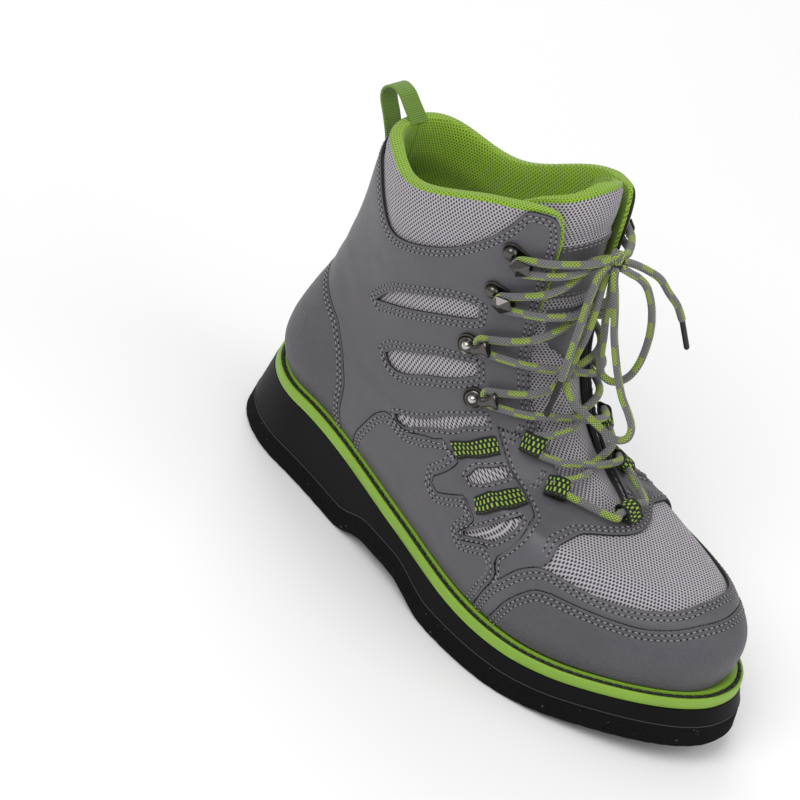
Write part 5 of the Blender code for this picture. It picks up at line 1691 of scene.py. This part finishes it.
@dataclass
class Webbings:
    """Side bands, lace loops and the pull loop."""

    lift: float = 3.0
    band_thick: float = 1.0
    loop_thick: float = .9
    tack_lift: float = 2.62
    loop_width: float = 11.0
    loop_reach: float = 9.4
    loop_height: float = 6.8
    loop_tail: float = 5.0
    pull_width: float = 12.5
    pull_thick: float = 1.6

    def build_bands(self) -> None:
        """Make the two webbing bands on each side, with a row of stitches at both ends."""
        for side, word in SIDES:
            for band in BANDS:
                centre = []
                across = []
                for t in np.linspace(0, 1, 22):
                    a = side * (band.front + (band.back - band.front) * t)
                    shares = np.array(((1 - t) * (1 - 2 * t), 4 * t * (1 - t), t * (2 * t - 1)))
                    low = shares @ (band.front_low, band.middle_low, band.back_low)
                    high = shares @ (band.front_high, band.middle_high, band.back_high)
                    edges = BOOT.off([(a, low), (a, high)], self.lift)
                    centre.append(BOOT.off([(a, (low + high) / 2)], self.lift)[0])
                    across.append(side * (edges[1] - edges[0]) / 2)
                end = "_%s_%s" % (word, band.name)
                strip("side_band" + end, np.array(centre), np.array(across), self.band_thick,
                      Look.WEBBING, ["side_web" + end])

    def loop_path(self) -> np.ndarray:
        """Middle line of a lace loop in its own frame: round the lace, with its tail flat."""
        inset = .55
        bend = 2.6
        points = []
        for k in range(36):
            angle = 2 * math.pi * k / 36
            x = (self.loop_reach / 2 - inset) * math.cos(angle)
            z = self.loop_height / 2 + (self.loop_height / 2 - inset) * math.sin(angle)
            if x < -bend:
                pull = (-x - bend) / (self.loop_reach / 2 - inset - bend)
                x -= self.loop_tail * .8 * pull ** 2 * (1 - z / self.loop_height)
                z *= 1 - .25 * pull
            points.append((x, 0.0, max(z, inset)))
        return np.array(points)

    def tack_line(self, here: Place, side: int, x: float) -> np.ndarray:
        """Places across a loop's tail, a distance behind it, in its own frame.

        Args:
            here: the loop's place.
            side: side of the foot.
            x: distance from the loop's middle towards the throat, in millimetres.

        Returns:
            (a, v) pairs in a straight row.
        """
        rows = seat(here, (here[0] - side * .05, here[1]), 0.0)
        step = .004
        by_a = (BOOT.off([(here[0] + step, here[1])], 0.0)[0] - rows[3]) / step
        by_v = (BOOT.off([(here[0], here[1] + step)], 0.0)[0] - rows[3]) / step
        turn = np.linalg.inv(rows[:2] @ np.stack([by_a, by_v], axis=1))
        return np.array([turn @ (x, y) + here for y in np.linspace(-6.6, 6.6, 19)])

    def build_loops(self) -> None:
        """Make the five lace loops."""
        spots = [("lace_loop_centre", (0.0, CENTRE_LOOP_V), (0.0, CENTRE_LOOP_V + .05))]
        for side, word in SIDES:
            for name, a, v in LACE_LOOPS:
                spots.append(("lace_loop_%s_%s" % (word, name), (side * a, v), (side * (a - .05), v)))
        for node, here, ahead in spots:
            rows = seat(here, ahead, LOOP_FOOT)
            centre = self.loop_path() @ rows[:3] + rows[3]
            half = np.tile(-rows[1] * (self.loop_width / 2 - .1), (len(centre), 1))
            strip(node.replace("lace_loop", "web_loop"), centre, half, self.loop_thick, Look.WEBBING,
                  [node], closed=True)
        rows = [(self.tack_line((side * a, v), side, x), self.tack_lift, False)
                for side, _ in SIDES for _, a, v in LACE_LOOPS for x in (-8.8, -10.6)]
        StitchRun().sew("loop_tack", rows)

    def build_pull(self) -> None:
        """Make the pull loop at the back, its ribbon folded over the collar."""
        centre = curved([(x, 0.0, z) for x, z in PULL_LINE], 7)
        down = unit(centre[-1] - centre[-3])
        centre += [centre[-1] + down * reach for reach in (1.5, 3.0, 4.5, 6.0)]
        centre = np.array(centre)
        along = np.arange(len(centre)) / (len(centre) - 1)
        half = np.zeros_like(centre)
        half[:, 1] = self.pull_width / 2 * (1 - .05 * np.sin(along * math.pi))
        centre[:, 1] += .5 * np.sin(along * 2 * math.pi)
        strip("pull_ribbon", centre, half, self.pull_thick * .8, Look.PULL, ["pull_loop"])

    def build(self) -> None:
        """Make all the webbing."""
        self.build_bands()
        self.build_loops()
        self.build_pull()


@dataclass
class Hooks:
    """Metal lace hooks: two with plates and two with round bases on each side."""

    plate: float = 9.0
    thick: float = 1.2
    post: float = 3.6
    room: float = 5.4
    seat_lift: float = 3.2
    rivet: float = 7.2

    @staticmethod
    def disc(radius: float, half: float, height: float) -> bmesh.types.BMesh:
        """Stadium plate with a raised rim: a circle pulled apart, grown and inset."""
        bm = bmesh.new()
        bmesh.ops.create_circle(bm, cap_ends=True, segments=32, radius=radius)
        for vert in bm.verts:
            if abs(vert.co.x) > 1e-6:
                vert.co.x += half * math.copysign(1, vert.co.x)
        grown = bmesh.ops.extrude_face_region(bm, geom=bm.faces[:], use_keep_orig=True)["geom"]
        raised = [g for g in grown if isinstance(g, bmesh.types.BMVert)]
        bmesh.ops.translate(bm, vec=(0, 0, height), verts=raised)
        top = [g for g in grown if isinstance(g, bmesh.types.BMFace)]
        for share in (.10, .12):
            bmesh.ops.inset_region(bm, faces=top, thickness=radius * share)
        for vert in {v for face in top for v in face.verts}:
            vert.co.z -= height * .35
        outer = [e for e in bm.edges
                 if e.calc_face_angle(0) > 1.2 and abs(e.verts[0].co.z - height) < 1e-6]
        bmesh.ops.bevel(bm, geom=outer, offset=height * .22, affect="EDGES", segments=2, profile=.5,
                        material=-1, clamp_overlap=True)
        bmesh.ops.recalc_face_normals(bm, faces=bm.faces[:])
        return bm

    @staticmethod
    def spun(profile: Sequence[tuple], centre: float, steps: int = 24) -> bmesh.types.BMesh:
        """Profile of (radius, height) turned about an upright axis at X centre."""
        bm = bmesh.new()
        verts = [bm.verts.new((centre + r, 0, z)) for r, z in profile]
        edges = [bm.edges.new(pair) for pair in zip(verts, verts[1:])]
        bmesh.ops.spin(bm, geom=verts + edges, cent=(centre, 0, 0), axis=(0, 0, 1), dvec=(0, 0, 0),
                       angle=2 * math.pi, steps=steps, use_merge=True, use_duplicate=False)
        bmesh.ops.remove_doubles(bm, verts=bm.verts[:], dist=1e-4)
        bmesh.ops.recalc_face_normals(bm, faces=bm.faces[:])
        return bm

    def build_hook(self, hook: Hook, side: int, word: str) -> None:
        """Make one hook: base, rivet, post and head.

        Args:
            hook: its row in the table.
            side: side of the foot.
            word: the side's name.
        """
        rivet = (side * hook.rivet_a, hook.rivet_v)
        head = (side * hook.head_a, hook.head_v)
        rows = seat(((rivet[0] + head[0]) / 2, (rivet[1] + head[1]) / 2), head, self.seat_lift)
        ends = BOOT.off([rivet, head], 0.0)
        half = float(np.linalg.norm(ends[1] - ends[0])) / 2
        top = self.thick
        lip = top + self.room
        shapes = []
        if hook.plate:
            shapes.append(("plate", self.disc(self.plate / 2 + .6, half, self.thick), Look.METAL_DARK))
            ball_look = Look.METAL
            r = self.rivet / 2
        else:
            ring = ((0, 0), (6.0, 0), (6.0, .9), (5.7, 1.5), (5.2, 1.6), (4.8, 1.2), (4.4, .9), (0, .9))
            shapes.append(("plate", self.spun(ring, -half), Look.METAL_DARK))
            collar = ((0, .8), (4.3, .8), (4.2, 1.7), (3.7, 2.0), (3.2, 1.9), (3.0, 1.5), (0, 1.5))
            shapes.append(("collar", self.spun(collar, -half), Look.METAL))
            ball_look = Look.METAL_BRIGHT
            r = self.rivet / 2 * .74
        dome = ((0, top * .4), (r, top * .6), (r, top + .7), (r * .95, top + 1.5), (r * .8, top + 2.3),
                (r * .5, top + 2.95), (r * .2, top + 3.2), (0, top + 3.25))
        shapes.append(("rivet", self.spun(dome, -half), ball_look))
        p = self.post / 2
        post = ((0, top * .4), (p * 1.3, top * .4), (p, top + 1.0), (p, lip), (0, lip))
        shapes.append(("post", self.spun(post, half), Look.METAL))
        if hook.plate:
            facets = ((0, lip - .2), (3.7, lip - .1), (5.2, lip + .3), (4.9, lip + 1.0), (1.0, lip + 3.2),
                      (0, lip + 3.3))
            head = self.spun(facets, 0.0, 5)
            bmesh.ops.scale(head, vec=(1.12, .98, 1.0), verts=head.verts[:])
            bmesh.ops.translate(head, vec=(half - .9, 0, 0), verts=head.verts[:])
            for vert in head.verts:
                vert.co.x -= .55 * max(vert.co.z - lip, 0)
        else:
            spool = ((0, -4.6), (2.2, -4.6), (2.7, -4.0), (2.5, -2.6), (2.4, -.6), (2.9, 1.4), (4.1, 2.9),
                     (4.6, 3.8), (4.3, 4.4), (3.2, 4.5), (0, 4.5))
            head = self.spun(spool, 0.0)
            turned = Matrix.Translation((half - .2, 0, lip + 1.9)) @ Matrix.Diagonal((1, 1, .62, 1))
            turned = turned @ Matrix.Rotation(math.pi / 2, 4, "Y")
            bmesh.ops.transform(head, matrix=turned, verts=head.verts[:])
            bmesh.ops.recalc_face_normals(head, faces=head.faces[:])
        shapes.append(("head", head, Look.METAL))
        node = "hook_%s_%s" % (word, hook.name)
        for kind, bm, look in shapes:
            place_verts(bm, rows)
            finish_piece("%s_%s" % (node, kind), bm, [look], [node] if kind == "plate" else (),
                         12 if kind == "head" and hook.plate else 40)

    def build(self) -> None:
        """Make the eight hooks."""
        for side, word in SIDES:
            for hook in HOOKS:
                self.build_hook(hook, side, word)


def smooth_run(points: Any, step: float) -> np.ndarray:
    """Even points a step apart on a smooth curve through a route in space."""
    fine = np.array(curved(points, 12))
    run = run_along(fine)
    return at(np.linspace(0, run[-1], max(2, round(run[-1] / step)) + 1), run, fine)


def tube(name: str, line: np.ndarray, radius: Any, look: Look, replaces: Sequence[str] = (),
         sides: int = 14) -> bpy.types.Object:
    """Round lace or tip along a line, with rounded ends and a map along and around it.

    Args:
        name: the piece's name.
        line: points in millimetres, close together.
        radius: one radius for all, or one a point, in millimetres.
        look: its finish.
        replaces: CAD nodes it stands for.
        sides: points around.

    Returns:
        The new piece.
    """
    run = run_along(line)
    radii = np.broadcast_to(np.asarray(radius, float), (len(line),))
    step = unit(np.gradient(line, axis=0))
    side_way = np.cross(step[0], (0.3, 0.9, 0.2))
    centres = [line[0] - step[0] * radii[0] * .55, *line, line[-1] + step[-1] * radii[-1] * .55]
    sizes = [radii[0] * .6, *radii, radii[-1] * .6]
    ways = [step[0], *step, step[-1]]
    lengths = [-radii[0] * .55, *run, run[-1] + radii[-1] * .55]
    turns = np.arange(sides) * 2 * math.pi / sides
    rings = []
    for centre, size, along in zip(centres, sizes, ways):
        side_way = unit(side_way - along * (side_way @ along))
        other = np.cross(along, side_way)
        rings.append(centre + size * (np.cos(turns)[:, None] * side_way + np.sin(turns)[:, None] * other))
    bm = bmesh.new()
    loops = sweep(bm, rings, False, lambda k, n: (lengths[k] * MM, n / sides))
    bm.faces.new(loops[0])
    bm.faces.new(loops[-1])
    bmesh.ops.recalc_face_normals(bm, faces=bm.faces[:])
    return finish_piece(name, bm, [look], replaces)


@dataclass
class Laces:
    """The lace through its loops and hooks, its knot, bow loops and ends."""

    lace: float = 4.0
    aglet: float = 3.0
    arch: float = .024
    low_pass: float = .8
    hook_lift: float = 6.95
    hook_round: float = 4.0
    loop_lift: float = 6.9
    centre_lift: float = 4.0
    tongue: Tongue = field(default_factory=Tongue)

    def strand(self, start: Place, end: Place, middle: float, steps: int = 10) -> list[np.ndarray]:
        """Points of a strand across the throat, hugging the tongue.

        Args:
            start: where it begins.
            end: where it ends.
            middle: height at the middle, before the tongue's recess.
            steps: number of stretches between its points and ends.

        Returns:
            Points in millimetres, without the two ends.
        """
        line = []
        for k in range(1, steps):
            t = k / steps
            a = start[0] + (end[0] - start[0]) * t
            v = start[1] + (end[1] - start[1]) * t + self.arch * math.sin(math.pi * t)
            low = middle - self.tongue.sunk(0.0, v)
            height = self.hook_lift + (low - self.hook_lift) * math.sin(math.pi * t) ** 3
            line.append(BOOT.off([(a, v)], height)[0])
        return line

    def anchor(self, side: int, row: int) -> tuple[Place, Place, list]:
        """Where the lace enters and leaves a loop or hook, and its points in between.

        Args:
            side: side of the foot.
            row: 0 and 1 for the loops from below, then the hooks.

        Returns:
            The entry, the exit and the points between them.
        """
        if row < len(LACE_LOOPS):
            _, a, v = LACE_LOOPS[::-1][row]
            per_a, per_v = BOOT.scale(np.array([[a, v]]))[0]
            reach = 5.2 / per_v
            spots = [(side * (a - .8 / per_a), v + reach * s) for s in (-1, -.4, .4, 1)]
            points = list(BOOT.off(spots, self.loop_lift))
            inward = side * (a - 4.5 / per_a)
            return (inward, v - reach * 1.3), (inward, v + reach * 1.3), points
        hook = HOOKS[::-1][row - len(LACE_LOOPS)]
        a, v = hook.head_a, hook.head_v
        per_a, per_v = BOOT.scale(np.array([[a, v]]))[0]
        points = []
        for degrees in (-95, -50, 0, 50, 95):
            angle = math.radians(degrees)
            spot = (side * (a + self.hook_round * math.cos(angle) / per_a),
                    v + self.hook_round * math.sin(angle) / per_v)
            points.append(BOOT.off([spot], self.hook_lift)[0])
        step = self.hook_round / per_v
        inward = 4.0 / per_a
        return (side * (a - inward), v - step), (side * (a - inward), v + step), points

    def build_path(self, first_side: int) -> list:
        """Route of one half of the lace from the centre loop to the knot."""
        side = first_side
        rows = len(LACE_LOOPS) + len(HOOKS)
        centre = seat((0.0, CENTRE_LOOP_V), (0.0, CENTRE_LOOP_V + .05), LOOP_FOOT)
        away = centre[1] * (1.0 if centre[1][1] * first_side > 0 else -1.0)
        route = [centre[3] + centre[2] * self.centre_lift + away * y for y in (0.0, 4.0, 8.0, 13.0)]
        for row in range(rows):
            enter, _, between = self.anchor(side, row)
            if row:
                before = self.anchor(-side, row - 1)[1]
                over = (row % 2 == 0) == (first_side < 0)
                middle = self.low_pass + (self.lace * .85 if over else 0.0)
                route += self.strand(before, enter, middle)
            route += between
            side = -side
        last = self.anchor(-side, rows - 1)[1]
        knot = np.array(KNOT_CENTRE)
        for k in range(1, 7):
            t = k / 7
            height = self.hook_lift - math.sin(math.pi * t)
            along = BOOT.off([(last[0] * (1 - t * .84), last[1])], height)[0]
            arrive = knot + np.array((-.45, -side * 4.4, .15))
            route.append(along * (1 - t * t) + arrive * t * t)
        route.append(knot + np.array((-.3, -side * 3.2, .1)))
        return route

    def build_lacing(self) -> None:
        """Make the lace up the throat."""
        nodes = ["lace_bar", "lace_top_outer", "lace_top_inner"]
        nodes += ["lace_cross_%d" % k for k in range(1, 6)]
        for side, word in SIDES:
            line = smooth_run(self.build_path(side), 1.3)
            tube("lace_run_" + word, line, self.lace / 2, Look.LACE, nodes if word == "outer" else ())

    def build_knot(self) -> bpy.types.Object:
        """Make the knot: two turns of lace drawn tight round each other."""
        turns = []
        for k in range(49):
            t = 2 * math.pi * k / 48
            turns.append((1.15 * (math.sin(t) + 1.5 * math.sin(2 * t)) * .62,
                          1.5 * (math.cos(t) - 1.7 * math.cos(2 * t)) * .62, -2.0 * math.sin(3 * t)))
        line = np.array(turns) * 1.12 + np.array(KNOT_CENTRE)
        return tube("knot_turns", smooth_run(line, .7), 1.9, Look.LACE, ["lace_knot"])

    def declare(self, line: np.ndarray) -> None:
        """Work out a free cord's start, length and points from its route, keeping none of them.

        Args:
            line: its centreline in millimetres.
        """
        path = metres(line)
        tuple(path[0])
        round(float(run_along(path)[-1]), 3)
        [tuple(p) for p in path]

    def build_bow(self, knot: bpy.types.Object) -> None:
        """Make the bow loops, the ends and their tips.

        Args:
            knot: the knot's piece; not used.
        """
        for name, points in BOW.items():
            line = smooth_run(points, 1.5)
            piece = tube(name.replace("bow_loop", "bow_lace").replace("lace_end", "free_end"), line,
                         self.lace / 2, Look.LACE, [name])
            tips = [knot] if name == "bow_loop_inner" else []
            if name.startswith("lace_end"):
                word = name.split("_")[-1]
                last = np.array(points[-1], float)
                tip = np.array(AGLET_TIPS[word], float)
                way = unit(tip - last)
                shares = np.linspace(0, 1, 12)[:, None]
                shaft = last - way * 1.2 + (tip - last + way * .4) * shares
                radii = [self.aglet / 2 * (1.06 if k < 2 else 1.0) for k in range(12)]
                tips.append(tube("tip_" + word, shaft, radii, Look.AGLET, ["aglet_" + word]))
            self.declare(line)

    def build(self) -> None:
        """Make the whole lace."""
        self.build_lacing()
        self.build_bow(self.build_knot())


@dataclass
class Studio:
    """Camera at the photograph's angle, pale floor and soft lights."""

    azimuth: float = 34.554
    elevation: float = 35.625
    roll: float = 20.051
    distance: float = 1.9128
    focal: float = 163.93
    sensor: float = 36.0
    target: tuple = (.03173, 0.0, .05412)
    floor_z: float = -.0002

    def build_camera(self) -> None:
        """Place the camera."""
        az = math.radians(self.azimuth)
        el = math.radians(self.elevation)
        turn = math.radians(self.roll)
        back = Vector((math.sin(az) * math.cos(el), -math.cos(az) * math.cos(el), math.sin(el)))
        right = Vector((0, 0, 1)).cross(back).normalized()
        up = back.cross(right)
        right, up = (right * math.cos(turn) + up * math.sin(turn),
                     up * math.cos(turn) - right * math.sin(turn))
        data = bpy.data.cameras.new("camera")
        data.lens = self.focal
        data.sensor_width = self.sensor
        data.clip_end = 20.0
        camera = bpy.data.objects.new("camera", data)
        turned = Matrix((right, up, back)).transposed().to_4x4()
        camera.matrix_world = Matrix.Translation(Vector(self.target) + back * self.distance) @ turned
        bpy.context.scene.collection.objects.link(camera)
        bpy.context.scene.camera = camera

    def build_light(self, name: str, place: tuple, size: float, power: float) -> None:
        """Add a square soft light that looks at the boot.

        Args:
            name: its name.
            place: where it stands, in metres.
            size: its side, in metres.
            power: its power in watts.
        """
        data = bpy.data.lights.new(name, "AREA")
        data.size = size
        data.energy = power
        light = bpy.data.objects.new(name, data)
        aim = (Vector(place) - Vector(self.target)).to_track_quat("Z", "Y")
        light.matrix_world = Matrix.Translation(place) @ aim.to_matrix().to_4x4()
        bpy.context.scene.collection.objects.link(light)

    def build(self) -> None:
        """Set up the camera, the floor, the lights and the world."""
        self.build_camera()
        bm = bmesh.new()
        bmesh.ops.create_grid(bm, x_segments=1, y_segments=1, size=4.0)
        mesh = bpy.data.meshes.new("floor")
        bm.to_mesh(mesh)
        bm.free()
        material = bpy.data.materials.new("floor_white")
        material.use_nodes = True
        shader = material.node_tree.nodes["Principled BSDF"]
        shader.inputs["Base Color"].default_value = (.93, .93, .93, 1)
        shader.inputs["Roughness"].default_value = .9
        mesh.materials.append(material)
        floor = bpy.data.objects.new("floor", mesh)
        floor.location = (0, 0, self.floor_z)
        bpy.context.scene.collection.objects.link(floor)
        self.build_light("key", (.2, -1.1, 1.5), 1.1, 16.0)
        self.build_light("fill", (1.3, .3, .9), 1.2, 6.0)
        self.build_light("back", (-1.0, .9, 1.1), 1.0, 7.0)
        world = bpy.data.worlds.new("world")
        world.use_nodes = True
        world.node_tree.nodes["Background"].inputs["Color"].default_value = (1, 1, 1, 1)
        world.node_tree.nodes["Background"].inputs["Strength"].default_value = .55
        scene = bpy.context.scene
        scene.world = world
        scene.view_settings.view_transform = "Standard"


def main() -> None:
    """Build every piece in order."""
    logging.basicConfig(level=logging.INFO, format="%(name)s %(message)s")
    Studio().build()
    BOOT.prepare()
    Upper().build()
    Sole().build()
    Tongue().build()
    Webbings().build()
    Hooks().build()
    Laces().build()


if __name__ == "__main__":
    main()
